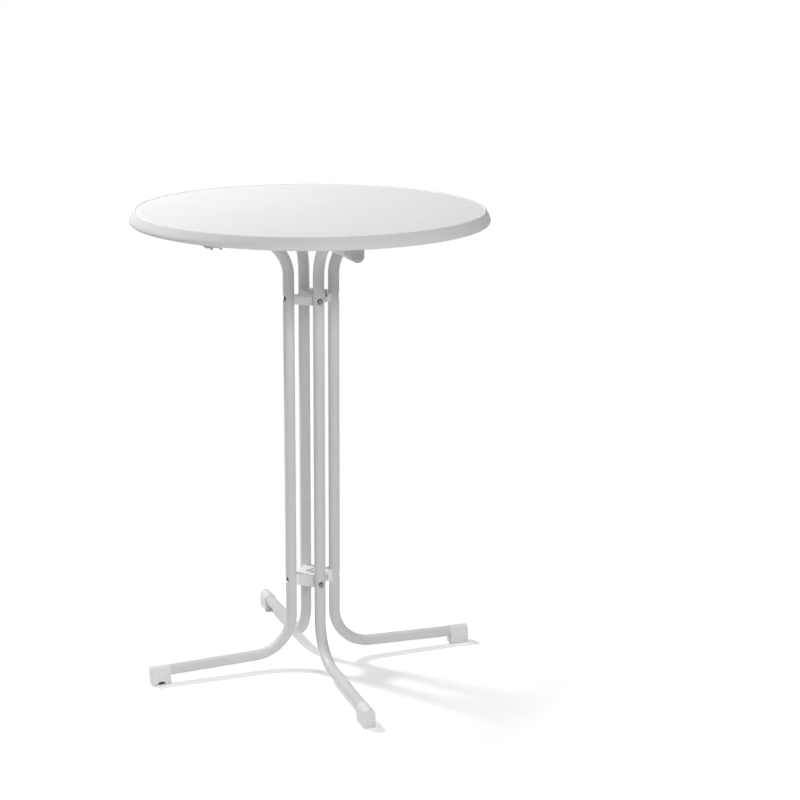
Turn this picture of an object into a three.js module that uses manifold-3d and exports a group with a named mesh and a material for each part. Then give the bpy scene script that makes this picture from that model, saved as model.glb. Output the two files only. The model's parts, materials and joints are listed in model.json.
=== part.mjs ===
// Folding standing table: a round moulded top on four bent tubes that close like scissors.
// Millimetres, +Z up, origin on the floor below the middle of the top.
// Frame one is the left and right tubes along X, frame two the front and back tubes along Y.

import * as THREE from 'three';
import { mergeVertices } from 'three/addons/utils/BufferGeometryUtils.js';
import Module from 'manifold-3d';

const wasm = await Module();
wasm.setup();

// Driving dimensions of the whole table
const overallHeight = 1100;
const topDiameter = 813;
const tubeOuter = 26;
const tubeWall = 1.5;
const uprightRing = 54;
const bendRadius = 92;
const runSlope = 1.6;
const footReach = 399;
const padInset = 86.5;
const plugReach = 252;
const upperJointDrop = 203.5;
const lowerJointHeight = 219.5;

// Bearings of the four tubes about the middle, seen from above
const bearings = { right: 0, back: 90, left: 180, front: 270 };
const frameTwo = ['back', 'front'];
const quarterTurn = 90;
const halfTurn = 180;

// Clearances
const restGap = 0.3;
const slideGap = 0.6;
const stopGap = 0.8;
const overrun = 3;

// Table top, its rim given from the widest circle inwards and from the top down
const boardThickness = 26;
const surfaceDrop = 1;
const rimWidth = 18.2;
const rimDepth = 28;
const rimProfile = [
  { acrossShare: 1, downShare: 0.0357 },
  { acrossShare: 0.786, downShare: 0.0214 },
  { acrossShare: 0.676, downShare: 0 },
  { acrossShare: 0.555, downShare: 0.0214 },
  { acrossShare: 0.478, downShare: 0.0786 },
  { acrossShare: 0.264, downShare: 0.343 },
  { acrossShare: 0.055, downShare: 0.636 },
  { acrossShare: 0, downShare: 0.786 },
  { acrossShare: 0.06, downShare: 0.929 },
  { acrossShare: 0.25, downShare: 1 },
  { acrossShare: 0.434, downShare: 0.93 },
];
const topSides = 48;
const dimpleRings = [
  { radiusShare: 0.258, count: 6 },
  { radiusShare: 0.728, count: 12 },
  { radiusShare: 0.876, count: 16 },
];
const dimpleMouth = 12;
const dimpleFloor = 7;
const dimpleDepth = 11;
const dimpleSides = 6;

// Feet and pads: one moulding of D section, flat side on the floor or up under the top
const capWidth = 29.6;
const capArch = 30.5;
const capLength = 46;
const capEndWall = 3;
const capCorner = 3;
const capCornerSides = 2;
const capArcSides = 6;
const collarLength = 6;
const collarStep = 0.4;
const capChamfer = 1;

// Levelling foot in the left cap
const wheelRadius = 14.8;
const wheelThickness = 5;
const wheelNotches = 12;
const wheelNotchDepth = 0.9;
const soleRadius = 9.6;
const soleThickness = 3;
const studRadius = 4;
const studFlat = 2.9;
const studTop = 15.4;
const windowHalfWidth = 9;
const windowHeight = 8.9;
const wheelWindow = [
  { sideShare: 1, riseShare: 0 },
  { sideShare: 1, riseShare: 0.56 },
  { sideShare: 0.84, riseShare: 0.88 },
  { sideShare: 0.51, riseShare: 1 },
];

// Connector yokes
const yokeHeight = 28;
const discRadius = 35;
const smallHubRadius = 30;
const upperDiscRadius = 33;
const upperDiscTop = 6.1;
const upperWebTop = 5.6;
const upperSideCupTop = 6.7;
const upperCrossCupTop = 10.5;
const bossRadius = 22;
const bossDepth = 3;
const armHalfWidth = 9;
const cupHalfWidth = 11.3;
const cupLength = 4;
const armRoot = 20;
const nearWebFace = 35;
const farWebFace = 39;
const farWebTop = 12;
const hubSides = 20;
const roundSides = 12;
const hubCutBearing = 190;
const hubCutOffset = 10.4;
const upperHubRise = 3.6;
const lowerHubRise = 5;
const pocketRadius = 32.2;
const pocketDepth = 4;
const pocketOutline = [
  { acrossShare: -0.5, alongShare: 0.12 },
  { acrossShare: -0.34, alongShare: -1 },
  { acrossShare: 0.12, alongShare: -1 },
  { acrossShare: 0.56, alongShare: -0.19 },
  { acrossShare: 0.56, alongShare: 0.56 },
  { acrossShare: 0.19, alongShare: 0.56 },
];

// Fasteners of the connectors
const tubeBoltRadius = 3;
const tubeBoltHeadRadius = 4.8;
const tubeBoltHeadHeight = 2.6;
const tubeBoltSocket = 4;
const tubeBoltSocketDepth = 1.5;
const seatRadius = 6.6;
const seatMouthRadius = 8.6;
const seatDepth = 5.9;
const bushRadius = 4.5;
const bushFlangeRadius = 5.6;
const bushFlange = 1.6;
const bushSides = 6;
const pivotRadius = 4;
const pivotHeadRadius = 6.6;
const pivotHeadHeight = 4.4;
const pivotSocket = 5;
const pivotSocketDepth = 2.4;
const pivotNutFlats = 13;
const pivotNutHeight = 6;
const washerRadius = 14;
const washerThickness = 0.8;
const upperFlankScrewHeight = 3.4;
const lowerFlankScrewHeight = 5.5;
const flankScrewHeadRadius = 1.8;
const flankScrewHead = 1.6;
const flankScrewRadius = 1.1;
const flankScrewLength = 9;
const flankScrewBearings = [315, 135];
const boltSides = 8;

// Saddle brackets under the top
const saddleNear = 205;
const saddleFar = 251;
const saddleHalfWidth = 21;
const cheekDrop = 69;
const flangeHalfWidth = 38;
const flangeThickness = 5;
const flangeScrewInset = 8;
const flangeScrewOffset = 30.5;
const boardScrewRadius = 2.2;
const boardScrewHeadRadius = 4.2;
const boardScrewHead = 2.6;
const boardScrewLength = 14;

// Straps that close the saddles from below
const strapDrop = 75;
const strapThickness = 3;
const strapInset = 1;
const strapRibHalfWidth = 9;
const strapPlateEdge = 17;
const lipThickness = 3;
const lipDrop = 60;
const windowInset = 6;
const windowPitch = 21;
const windowWidth = 6;
const windowDrop = 64;
const tabWidth = 5;
const tabDrop = 4.3;
const noseHeight = 4.2;
const noseWidth = 4.6;
const noseDepth = 1.6;
const noseShelfShare = 0.33;
const pinOffset = 22;
const pinRadius = 2;
const knuckleRadius = 4.2;
const knuckleLength = 9;

// End plugs of the left and right upper runs
const plugFlange = 2.5;
const plugInset = 0.6;
const plugSpigot = 12;

const board = new THREE.MeshStandardMaterial({ color: 0xefecea, roughness: 0.5, metalness: 0 });
const tubePaint = new THREE.MeshStandardMaterial({ color: 0xb4b3b1, roughness: 0.45, metalness: 0.2 });
const moulding = new THREE.MeshStandardMaterial({ color: 0xdcdcd8, roughness: 0.55, metalness: 0 });
const greyMoulding = new THREE.MeshStandardMaterial({ color: 0xbdbcb8, roughness: 0.6, metalness: 0 });
const blackMetal = new THREE.MeshStandardMaterial({ color: 0x1c1c1e, roughness: 0.4, metalness: 0.3 });
const brightSteel = new THREE.MeshStandardMaterial({ color: 0xa9abad, roughness: 0.3, metalness: 1 });
const redMoulding = new THREE.MeshStandardMaterial({ color: 0x8c2a26, roughness: 0.5, metalness: 0 });
const darkFibre = new THREE.MeshStandardMaterial({ color: 0x3a3835, roughness: 0.8, metalness: 0 });

// Derived levels and radii
const topRadius = topDiameter / 2;
const undersideHeight = overallHeight - boardThickness;
const upperJointHeight = overallHeight - upperJointDrop;
const padReach = topRadius - padInset;
const cheekBottom = overallHeight - cheekDrop;
const strapBottom = overallHeight - strapDrop;
const lipTop = overallHeight - lipDrop;
const windowTop = overallHeight - windowDrop;
const windowReaches = [saddleNear + windowInset, saddleNear + windowInset + windowPitch];
const padLevel = undersideHeight - restGap;
const padArch = padLevel - capArch;
const tubeRadius = tubeOuter / 2;
const slope = THREE.MathUtils.degToRad(runSlope);
const halfYoke = yokeHeight / 2;
const pocketFloor = halfYoke - pocketDepth;
const partingHalf = washerThickness / 2 + restGap;
const tubeFace = uprightRing - tubeRadius;
const cupEnd = tubeFace + cupLength;
const clearRadius = discRadius + slideGap;
const footArchReach = footReach - capLength / 2;
const padArchReach = padReach - capLength / 2;
const legHeight = (reach) => capArch - (reach - footArchReach) * Math.tan(slope);
const armHeight = (reach) => padArch + (reach - padArchReach) * Math.tan(slope);

// Solids
function solidOf(geometry) {
  const bare = geometry.clone();
  bare.deleteAttribute('normal');
  bare.deleteAttribute('uv');
  const merged = mergeVertices(bare);
  return new wasm.Manifold(new wasm.Mesh({
    numProp: 3,
    vertProperties: new Float32Array(merged.attributes.position.array),
    triVerts: new Uint32Array(merged.index.array),
  }));
}

function ring(radius, sides, phase = 0) {
  const points = [];
  for (let i = 0; i < sides; i += 1) {
    const angle = phase + (2 * Math.PI * i) / sides;
    points.push(new THREE.Vector2(radius * Math.cos(angle), radius * Math.sin(angle)));
  }
  return points;
}

function prism(points, low, high) {
  const geometry = new THREE.ExtrudeGeometry(new THREE.Shape(points), {
    depth: high - low,
    bevelEnabled: false,
  });
  geometry.translate(0, 0, low);
  return solidOf(geometry);
}

function post(radius, low, high, sides = boltSides) {
  return prism(ring(radius, sides), low, high);
}

// A solid drawn standing on the origin along +Z, laid along +X from a reach, at a height
function laidAlongX(solid, reach, height) {
  return solid.rotate([0, quarterTurn, 0]).translate([reach, 0, height]);
}

function bar(radius, near, far, height, sides = boltSides) {
  return laidAlongX(post(radius, 0, far - near, sides), near, height);
}

function block(x0, x1, y0, y1, z0, z1) {
  const geometry = new THREE.BoxGeometry(x1 - x0, y1 - y0, z1 - z0);
  geometry.translate((x0 + x1) / 2, (y0 + y1) / 2, (z0 + z1) / 2);
  return solidOf(geometry);
}

function hexagon(acrossFlats) {
  return ring(acrossFlats / 2 / Math.cos(Math.PI / 6), 6);
}

function turned(solid, degrees) {
  return solid.rotate([0, 0, degrees]);
}

function lathed(points, sides) {
  return solidOf(new THREE.LatheGeometry(points.map((p) => new THREE.Vector2(p.r, p.z)), sides))
    .rotate([quarterTurn, 0, 0]);
}

const table = new THREE.Group();

function addPart(parent, name, solid, material) {
  const mesh = solid.getMesh();
  const geometry = new THREE.BufferGeometry();
  geometry.setAttribute('position', new THREE.BufferAttribute(new Float32Array(mesh.vertProperties), 3));
  geometry.setIndex(new THREE.BufferAttribute(new Uint32Array(mesh.triVerts), 1));
  geometry.computeVertexNormals();
  const part = new THREE.Mesh(geometry, material);
  part.name = name;
  parent.add(part);
}

function addGroup(bearing, height = 0) {
  const group = new THREE.Group();
  group.rotation.z = THREE.MathUtils.degToRad(bearing);
  group.position.z = height;
  table.add(group);
  return group;
}

// The centre line of a tube in the plane of its runs, as stations with one step to a straight run
class TubeLine extends THREE.Curve {
  constructor(stations) {
    super();
    this.stations = stations;
  }

  at(t) {
    return this.stations[Math.round(t * (this.stations.length - 1))];
  }

  getPoint(t) {
    return this.at(t).point.clone();
  }

  getPointAt(t) {
    return this.at(t).point.clone();
  }

  getTangentAt(t) {
    return this.at(t).tangent.clone();
  }
}

const bendSteps = 5;
const bendCentre = uprightRing + bendRadius;
const runStart = bendCentre - bendRadius * Math.sin(slope);
const lowBend = legHeight(runStart) + bendRadius * Math.cos(slope);
const highBend = armHeight(runStart) - bendRadius * Math.cos(slope);

function station(x, z, dx, dz) {
  return { point: new THREE.Vector3(x, 0, z), tangent: new THREE.Vector3(dx, 0, dz).normalize() };
}

function tubeStations(legEnd, armEnd) {
  const sweep = Math.PI / 2 - slope;
  const lower = [];
  const upper = [];
  for (let i = 0; i <= bendSteps; i += 1) {
    const angle = (sweep * i) / bendSteps;
    const x = bendCentre - bendRadius * Math.cos(angle);
    const rise = bendRadius * Math.sin(angle);
    lower.unshift(station(x, lowBend - rise, -Math.sin(angle), Math.cos(angle)));
    upper.push(station(x, highBend + rise, Math.sin(angle), Math.cos(angle)));
  }
  return [
    station(legEnd, legHeight(legEnd), -Math.cos(slope), Math.sin(slope)),
    ...lower,
    ...upper,
    station(armEnd, armHeight(armEnd), Math.cos(slope), Math.sin(slope)),
  ];
}

const tubeSides = 16;
const boreSides = 8;
const tubeRing = (radius) => ring(radius, tubeSides, Math.PI / tubeSides);
const jointHeights = [upperJointHeight, lowerJointHeight];
const boltSeat = uprightRing + tubeRadius - seatDepth;

function boltSeats(tube, height) {
  const surface = uprightRing + tubeRadius;
  const skin = prism(tubeRing(tubeRadius - restGap), height - tubeOuter, height + tubeOuter)
    .translate([uprightRing, 0, 0]);
  const pressed = bar(seatRadius + tubeWall, boltSeat - tubeWall, surface, height).intersect(skin);
  const cone = new THREE.CylinderGeometry(seatMouthRadius, seatRadius, seatDepth, boltSides);
  cone.rotateZ(-Math.PI / 2);
  cone.translate(boltSeat + seatDepth / 2, 0, height);
  const hole = bar(tubeBoltRadius + restGap, tubeFace - tubeRadius, boltSeat + restGap, height);
  return tube.add(pressed).subtract(solidOf(cone)).subtract(hole);
}

function bentTube(armEnd) {
  const shape = new THREE.Shape(tubeRing(tubeRadius));
  shape.holes.push(new THREE.Path(ring(tubeRadius - tubeWall, boreSides)));
  const stations = tubeStations(footReach - capEndWall - restGap, armEnd);
  const tube = solidOf(new THREE.ExtrudeGeometry(shape, {
    steps: stations.length - 1,
    extrudePath: new TubeLine(stations),
    bevelEnabled: false,
  }));
  return jointHeights.reduce(boltSeats, tube);
}

// End caps of D section, drawn across Y and Z and run along X
function capOutline(inset) {
  const half = capWidth / 2 - inset;
  const points = [];
  for (let i = 0; i <= capArcSides; i += 1) {
    const angle = (Math.PI * i) / capArcSides;
    points.push(new THREE.Vector2(half * Math.cos(angle), capArch + half * Math.sin(angle)));
  }
  const corner = (side, angle) => points.push(new THREE.Vector2(
    side * (half - capCorner + capCorner * Math.cos(angle)),
    capCorner - capCorner * Math.sin(angle),
  ));
  for (let i = 0; i <= capCornerSides; i += 1) corner(-1, (Math.PI / 2) * (i / capCornerSides));
  for (let i = capCornerSides; i >= 0; i -= 1) corner(1, (Math.PI / 2) * (i / capCornerSides));
  return points;
}

function capRun(inset, near, far) {
  return prism(capOutline(inset), 0, far - near)
    .rotate([quarterTurn, 0, quarterTurn])
    .translate([near, 0, 0]);
}

function endCap(reach) {
  const inner = reach - capLength;
  const collar = capRun(0, inner, inner + collarLength);
  const body = capRun(collarStep, inner, reach - capChamfer);
  const face = capRun(collarStep + capChamfer, inner, reach);
  const socketEnd = reach - capEndWall;
  const middle = reach - capLength / 2;
  const socket = prism(tubeRing(tubeRadius + restGap), -capLength, socketEnd - middle)
    .rotate([0, quarterTurn + runSlope, 0])
    .translate([middle, 0, capArch]);
  return collar.add(body).add(face).subtract(socket);
}

function padCap() {
  return endCap(padReach).mirror([0, 0, 1]).translate([0, 0, padLevel]);
}

// Levelling foot: a captive wheel turns round the flatted stud of a sole
const wheelLow = soleThickness + slideGap;
const wheelHigh = wheelLow + wheelThickness;

function studOutline(clearance) {
  const flat = studFlat + clearance;
  return ring(studRadius + clearance, roundSides)
    .map((p) => new THREE.Vector2(p.x, THREE.MathUtils.clamp(p.y, -flat, flat)));
}

function levellingCap() {
  const pocketTop = wheelHigh + restGap;
  const soleHole = post(soleRadius + slideGap, -overrun, wheelLow, roundSides);
  const pocket = post(wheelRadius + slideGap, wheelLow - restGap, pocketTop, 2 * wheelNotches);
  const guide = prism(studOutline(restGap), wheelHigh, studTop + restGap);
  const edge = (side) => wheelWindow
    .map((p) => new THREE.Vector2(side * windowHalfWidth * p.sideShare, windowHeight * p.riseShare));
  const foot = [-windowHalfWidth, windowHalfWidth].map((x) => new THREE.Vector2(x, -overrun));
  const window = prism([...foot, ...edge(1), ...edge(-1).reverse()], -capWidth, capWidth)
    .rotate([quarterTurn, 0, 0]);
  const cuts = soleHole.add(pocket).add(guide).add(window).translate([footArchReach, 0, 0]);
  return endCap(footReach).subtract(cuts);
}

function levellingWheel() {
  const points = [];
  for (let i = 0; i < 2 * wheelNotches; i += 1) {
    const angle = (Math.PI * i) / wheelNotches;
    const radius = wheelRadius - (i % 2) * wheelNotchDepth;
    points.push(new THREE.Vector2(radius * Math.cos(angle), radius * Math.sin(angle)));
  }
  const bore = post(studRadius + restGap, 0, studTop, roundSides);
  return prism(points, wheelLow, wheelHigh).subtract(bore).translate([footArchReach, 0, 0]);
}

function levellingSole() {
  const sole = post(soleRadius, 0, soleThickness, roundSides);
  return sole.add(prism(studOutline(0), 0, studTop)).translate([footArchReach, 0, 0]);
}

// Connector yokes, drawn about their own middle with the arms along X.
// The top yoke of a connector bears on the bottom one through a washer round the pivot bolt.
function armPair(inner, low, high) {
  const outline = [
    new THREE.Vector2(inner, -armHalfWidth),
    new THREE.Vector2(clearRadius, -armHalfWidth),
    new THREE.Vector2(cupEnd, -cupHalfWidth),
    new THREE.Vector2(cupEnd, cupHalfWidth),
    new THREE.Vector2(clearRadius, armHalfWidth),
    new THREE.Vector2(inner, armHalfWidth),
  ];
  const arm = prism(outline, low, high);
  return arm.add(turned(arm, halfTurn));
}

// A web beside the arm at -X, reaching towards the other yoke's arm at -Y and stopping short of it
function stopWeb(face, low, high) {
  const diagonal = face * Math.SQRT2;
  const stop = armHalfWidth + stopGap;
  const flare = (cupHalfWidth - armHalfWidth) / (cupEnd - clearRadius);
  const tip = (diagonal - stop + flare * clearRadius) / (1 + flare);
  const root = tubeFace - restGap;
  return prism([
    new THREE.Vector2(-root, 0),
    new THREE.Vector2(-root, root - diagonal),
    new THREE.Vector2(tip - diagonal, -tip),
    new THREE.Vector2(-stop, -clearRadius),
    new THREE.Vector2(-stop, -armHalfWidth),
    new THREE.Vector2(-armRoot, 0),
  ], low, high);
}

function boltWays() {
  const shoulder = clearRadius + bushFlange + slideGap;
  const way = bar(bushFlangeRadius + restGap, clearRadius - overrun, shoulder, 0, bushSides)
    .add(bar(bushRadius + restGap, clearRadius, tubeFace + overrun, 0, bushSides));
  const tube = prism(tubeRing(tubeRadius + restGap), -yokeHeight, yokeHeight).translate([uprightRing, 0, 0]);
  const side = way.intersect(block(clearRadius, cupEnd, -cupEnd, cupEnd, -halfYoke, halfYoke)).add(tube);
  return side.add(turned(side, halfTurn));
}

function flankScrewWays(flanks, height) {
  return flanks.map((flank, i) => {
    const seat = flank - flankScrewHead - slideGap;
    const way = bar(flankScrewHeadRadius + restGap, seat, flank + overrun, height)
      .add(bar(flankScrewRadius + restGap, flank - flankScrewLength - slideGap, flank, height));
    return turned(way, flankScrewBearings[i]);
  });
}

function flankScrew(flank, height, bearing) {
  const seat = flank - flankScrewHead - restGap;
  const screw = bar(flankScrewHeadRadius, seat, flank - restGap, height)
    .add(bar(flankScrewRadius, flank - flankScrewLength, seat + restGap, height));
  return turned(screw, bearing);
}

// The underside of a hub is raised between the right and front arms
function hubRelief(rise) {
  return block(armHalfWidth, clearRadius, -clearRadius, -armHalfWidth, -yokeHeight, rise - halfYoke);
}

function topYoke(disc, discTop, cupTop, boltTop, web) {
  const boss = post(bossRadius, partingHalf - bossDepth, discTop, hubSides);
  const headFloor = boltTop - pivotHeadHeight - slideGap;
  return disc
    .add(boss)
    .add(armPair(armRoot, partingHalf, discTop))
    .add(armPair(clearRadius, -halfYoke, cupTop))
    .add(web)
    .subtract(boltWays())
    .subtract(post(pivotRadius + restGap, -yokeHeight, yokeHeight, roundSides))
    .subtract(post(pivotHeadRadius + restGap, headFloor, discTop + overrun, roundSides));
}

function bottomYoke(hub, cupTop, web) {
  const recess = post(bossRadius + slideGap, -partingHalf - bossDepth, partingHalf, hubSides);
  const nutCeiling = restGap - halfYoke + pivotNutHeight + restGap;
  return hub
    .add(armPair(armRoot, -halfYoke, -partingHalf))
    .add(armPair(clearRadius, -halfYoke, cupTop))
    .add(web)
    .subtract(recess)
    .subtract(boltWays())
    .subtract(post(pivotRadius + restGap, -yokeHeight, yokeHeight, roundSides))
    .subtract(prism(hexagon(pivotNutFlats + slideGap), -halfYoke - overrun, nutCeiling));
}

// Upper connector: the side yoke below, its web rising round the disc of the cross yoke
const upperFlanks = [upperDiscRadius, smallHubRadius];
const lowerFlanks = [discRadius, discRadius];

function upperSideYoke() {
  const hub = post(discRadius, -halfYoke, -partingHalf, hubSides);
  const clear = post(upperDiscRadius + slideGap, -partingHalf, yokeHeight, hubSides);
  const web = stopWeb(nearWebFace, -halfYoke, upperWebTop).subtract(clear);
  return bottomYoke(hub, upperSideCupTop, web).subtract(hubRelief(upperHubRise));
}

function upperCrossYoke() {
  const behind = block(-discRadius, -armHalfWidth, armHalfWidth, discRadius, -yokeHeight, yokeHeight);
  const disc = post(upperDiscRadius, partingHalf, upperDiscTop, hubSides)
    .subtract(behind)
    .add(post(smallHubRadius, partingHalf, upperDiscTop, hubSides));
  const clear = post(clearRadius, -yokeHeight, partingHalf, hubSides);
  const web = stopWeb(farWebFace, -halfYoke, farWebTop).subtract(clear).mirror([1, 0, 0]);
  const facing = turned(disc, -quarterTurn);
  const yoke = turned(topYoke(facing, upperDiscTop, upperCrossCupTop, upperDiscTop, web), quarterTurn);
  return flankScrewWays(upperFlanks, upperFlankScrewHeight).reduce((rest, way) => rest.subtract(way), yoke);
}

// Lower connector: the side yoke on top with a full height web, the cross yoke's hub below
function lowerSideYoke() {
  const clear = post(smallHubRadius + slideGap, -yokeHeight, partingHalf, hubSides);
  const web = stopWeb(nearWebFace, -halfYoke, halfYoke).subtract(clear);
  const outline = pocketOutline
    .map((p) => new THREE.Vector2(pocketRadius * p.acrossShare, pocketRadius * p.alongShare));
  const pocket = prism(outline, pocketFloor, halfYoke + overrun)
    .intersect(post(pocketRadius, -yokeHeight, yokeHeight, hubSides));
  const disc = post(discRadius, partingHalf, halfYoke, hubSides);
  const yoke = topYoke(disc, halfYoke, halfYoke, pocketFloor, web).subtract(pocket);
  return flankScrewWays(lowerFlanks, lowerFlankScrewHeight).reduce((rest, way) => rest.subtract(way), yoke);
}

function lowerCrossHub() {
  const cut = block(hubCutOffset, 2 * discRadius, -discRadius, discRadius, -yokeHeight, yokeHeight);
  return post(discRadius, -halfYoke, -partingHalf, hubSides)
    .subtract(turned(cut, hubCutBearing))
    .add(post(smallHubRadius, -halfYoke, -partingHalf, hubSides));
}

function lowerCrossYoke() {
  const clear = post(clearRadius, -partingHalf, yokeHeight, hubSides);
  const web = stopWeb(farWebFace, -halfYoke, farWebTop).subtract(clear).mirror([1, 0, 0]);
  const hub = turned(lowerCrossHub(), -quarterTurn);
  return turned(bottomYoke(hub, halfYoke, web), quarterTurn).subtract(hubRelief(lowerHubRise));
}

// Bolts, bushes, pivots
function tubeBolt(height) {
  const seat = boltSeat + restGap;
  const head = bar(tubeBoltHeadRadius, seat, seat + tubeBoltHeadHeight, height);
  const shank = bar(tubeBoltRadius, clearRadius + restGap, seat + restGap, height);
  const socket = laidAlongX(prism(hexagon(tubeBoltSocket), 0, tubeBoltSocketDepth + overrun),
    seat + tubeBoltHeadHeight - tubeBoltSocketDepth, height);
  return head.add(shank).subtract(socket);
}

function tubeBush(height) {
  const near = clearRadius + restGap;
  return bar(bushFlangeRadius, near, near + bushFlange, height, bushSides)
    .add(bar(bushRadius, near, tubeFace - slideGap, height, bushSides))
    .subtract(bar(tubeBoltRadius + restGap, near - overrun, tubeFace, height));
}

function pivotBolt(boltTop) {
  const headTop = boltTop - restGap;
  const shankLow = slideGap - halfYoke;
  const head = post(pivotHeadRadius, headTop - pivotHeadHeight, headTop, roundSides);
  const shank = post(pivotRadius, shankLow, headTop - restGap, roundSides);
  const socket = prism(hexagon(pivotSocket), headTop - pivotSocketDepth, headTop + overrun);
  return head.add(shank).subtract(socket);
}

function pivotNut() {
  const low = restGap - halfYoke;
  return prism(hexagon(pivotNutFlats), low, low + pivotNutHeight)
    .subtract(post(pivotRadius + restGap, -yokeHeight, yokeHeight, roundSides));
}

function hubWasher() {
  const middle = -bossDepth;
  return post(washerRadius, middle - washerThickness / 2, middle + washerThickness / 2, roundSides)
    .subtract(post(pivotRadius + slideGap, -yokeHeight, yokeHeight, roundSides));
}

// Saddle brackets, drawn towards +X with the hinge on the -Y side and the snaps on the +Y side
const pinHeight = strapBottom + knuckleRadius;
const saddleMiddle = (saddleNear + saddleFar) / 2;

function armWay(clearance) {
  return prism(tubeRing(tubeRadius + clearance), -capLength, capLength)
    .rotate([0, quarterTurn - runSlope, 0])
    .translate([saddleMiddle, 0, armHeight(saddleMiddle)]);
}

function pinBar(radius, near, far) {
  return bar(radius, near, far, pinHeight).translate([0, -pinOffset, 0]);
}

function flangeScrewPlaces() {
  const places = [];
  for (const x of [saddleNear + flangeScrewInset, saddleFar - flangeScrewInset]) {
    for (const y of [-flangeScrewOffset, flangeScrewOffset]) places.push([x, y]);
  }
  return places;
}

function snapNose(reach) {
  const top = windowTop - restGap;
  const side = saddleHalfWidth - restGap;
  return prism([
    new THREE.Vector2(side, top - noseHeight),
    new THREE.Vector2(side + restGap + noseDepth, top - noseHeight * noseShelfShare),
    new THREE.Vector2(side + restGap + noseDepth, top),
    new THREE.Vector2(side, top),
  ], 0, noseWidth).rotate([quarterTurn, 0, quarterTurn]).translate([reach - noseWidth / 2, 0, 0]);
}

function saddleBracket() {
  const gap = tubeRadius + slideGap;
  const flangeBottom = padLevel - flangeThickness;
  const slotTop = armHeight(saddleMiddle);
  let bracket = block(saddleNear, saddleFar, -flangeHalfWidth, flangeHalfWidth, flangeBottom, padLevel)
    .add(block(saddleNear, saddleFar, -saddleHalfWidth, saddleHalfWidth, cheekBottom, padLevel))
    .add(pinBar(knuckleRadius, saddleNear, saddleFar))
    .add(block(saddleNear, saddleFar, -pinOffset - knuckleRadius, -saddleHalfWidth + knuckleRadius,
      pinHeight, cheekBottom + knuckleRadius))
    .subtract(armWay(slideGap))
    .subtract(block(saddleNear - overrun, saddleFar + overrun, -gap, gap, strapBottom, slotTop))
    .subtract(block(saddleNear + knuckleLength, saddleFar - knuckleLength,
      -pinOffset - knuckleRadius - overrun, -pinOffset + knuckleRadius + slideGap,
      strapBottom - overrun, pinHeight + knuckleRadius + slideGap))
    .subtract(pinBar(pinRadius + restGap, saddleNear - overrun, saddleFar + overrun));
  for (const reach of windowReaches) bracket = bracket.add(snapNose(reach));
  for (const [x, y] of flangeScrewPlaces()) {
    const hole = post(boardScrewRadius + restGap, padLevel - capArch, padLevel + overrun);
    bracket = bracket.subtract(hole.translate([x, y, 0]));
  }
  return bracket;
}

function saddleStrap() {
  const near = saddleNear + strapInset;
  const far = saddleFar - strapInset;
  const lipInner = saddleHalfWidth + slideGap;
  const lipOuter = lipInner + lipThickness;
  const plateTop = strapBottom + strapThickness;
  const ribTop = armHeight(near) - tubeRadius + slideGap;
  const knuckleNear = saddleNear + knuckleLength + slideGap;
  const knuckleFar = saddleFar - knuckleLength - slideGap;
  let strap = block(near, far, -strapPlateEdge, lipOuter, strapBottom, plateTop)
    .add(block(near, far, lipInner, lipOuter, strapBottom, lipTop))
    .add(block(near, far, -strapRibHalfWidth, strapRibHalfWidth, strapBottom, ribTop))
    .add(block(knuckleNear, knuckleFar, -pinOffset, -strapRibHalfWidth, strapBottom, plateTop))
    .add(pinBar(knuckleRadius, knuckleNear, knuckleFar))
    .subtract(armWay(slideGap))
    .subtract(pinBar(pinRadius + restGap, knuckleNear - overrun, knuckleFar + overrun));
  for (const reach of windowReaches) {
    const tabNear = reach + windowWidth / 2 + slideGap;
    strap = strap
      .subtract(block(reach - windowWidth / 2, reach + windowWidth / 2,
        lipInner - lipThickness, lipOuter + overrun, strapBottom - overrun, windowTop))
      .add(block(tabNear, tabNear + tabWidth, lipInner, lipOuter, strapBottom - tabDrop, plateTop));
  }
  return strap;
}

function strapPin() {
  return pinBar(pinRadius, saddleNear + restGap, saddleFar - restGap);
}

function boardScrews() {
  const headTop = padLevel - flangeThickness - restGap;
  return flangeScrewPlaces().map(([x, y]) => post(boardScrewHeadRadius, headTop - boardScrewHead, headTop)
    .add(post(boardScrewRadius, headTop - restGap, headTop + boardScrewLength))
    .translate([x, y, 0]));
}

function armPlug() {
  const length = plugFlange + plugSpigot;
  return post(tubeRadius - plugInset, length - plugFlange, length, tubeSides)
    .add(post(tubeRadius - tubeWall - plugInset, 0, length, boreSides))
    .translate([0, 0, -length])
    .rotate([0, quarterTurn - runSlope, 0])
    .translate([plugReach, 0, armHeight(plugReach)]);
}

// Table top with moulded hollows below and pilot holes for the bracket screws
function clearOfFittings(x, y) {
  const room = dimpleMouth + overrun;
  const nearSaddle = Math.abs(y) < flangeHalfWidth + room
    && Math.abs(x) > saddleNear - room
    && Math.abs(x) < saddleFar + room;
  const nearPad = Math.abs(x) < capWidth / 2 + room
    && Math.abs(y) > padReach - capLength - room
    && Math.abs(y) < padReach + room;
  return !nearSaddle && !nearPad;
}

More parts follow.
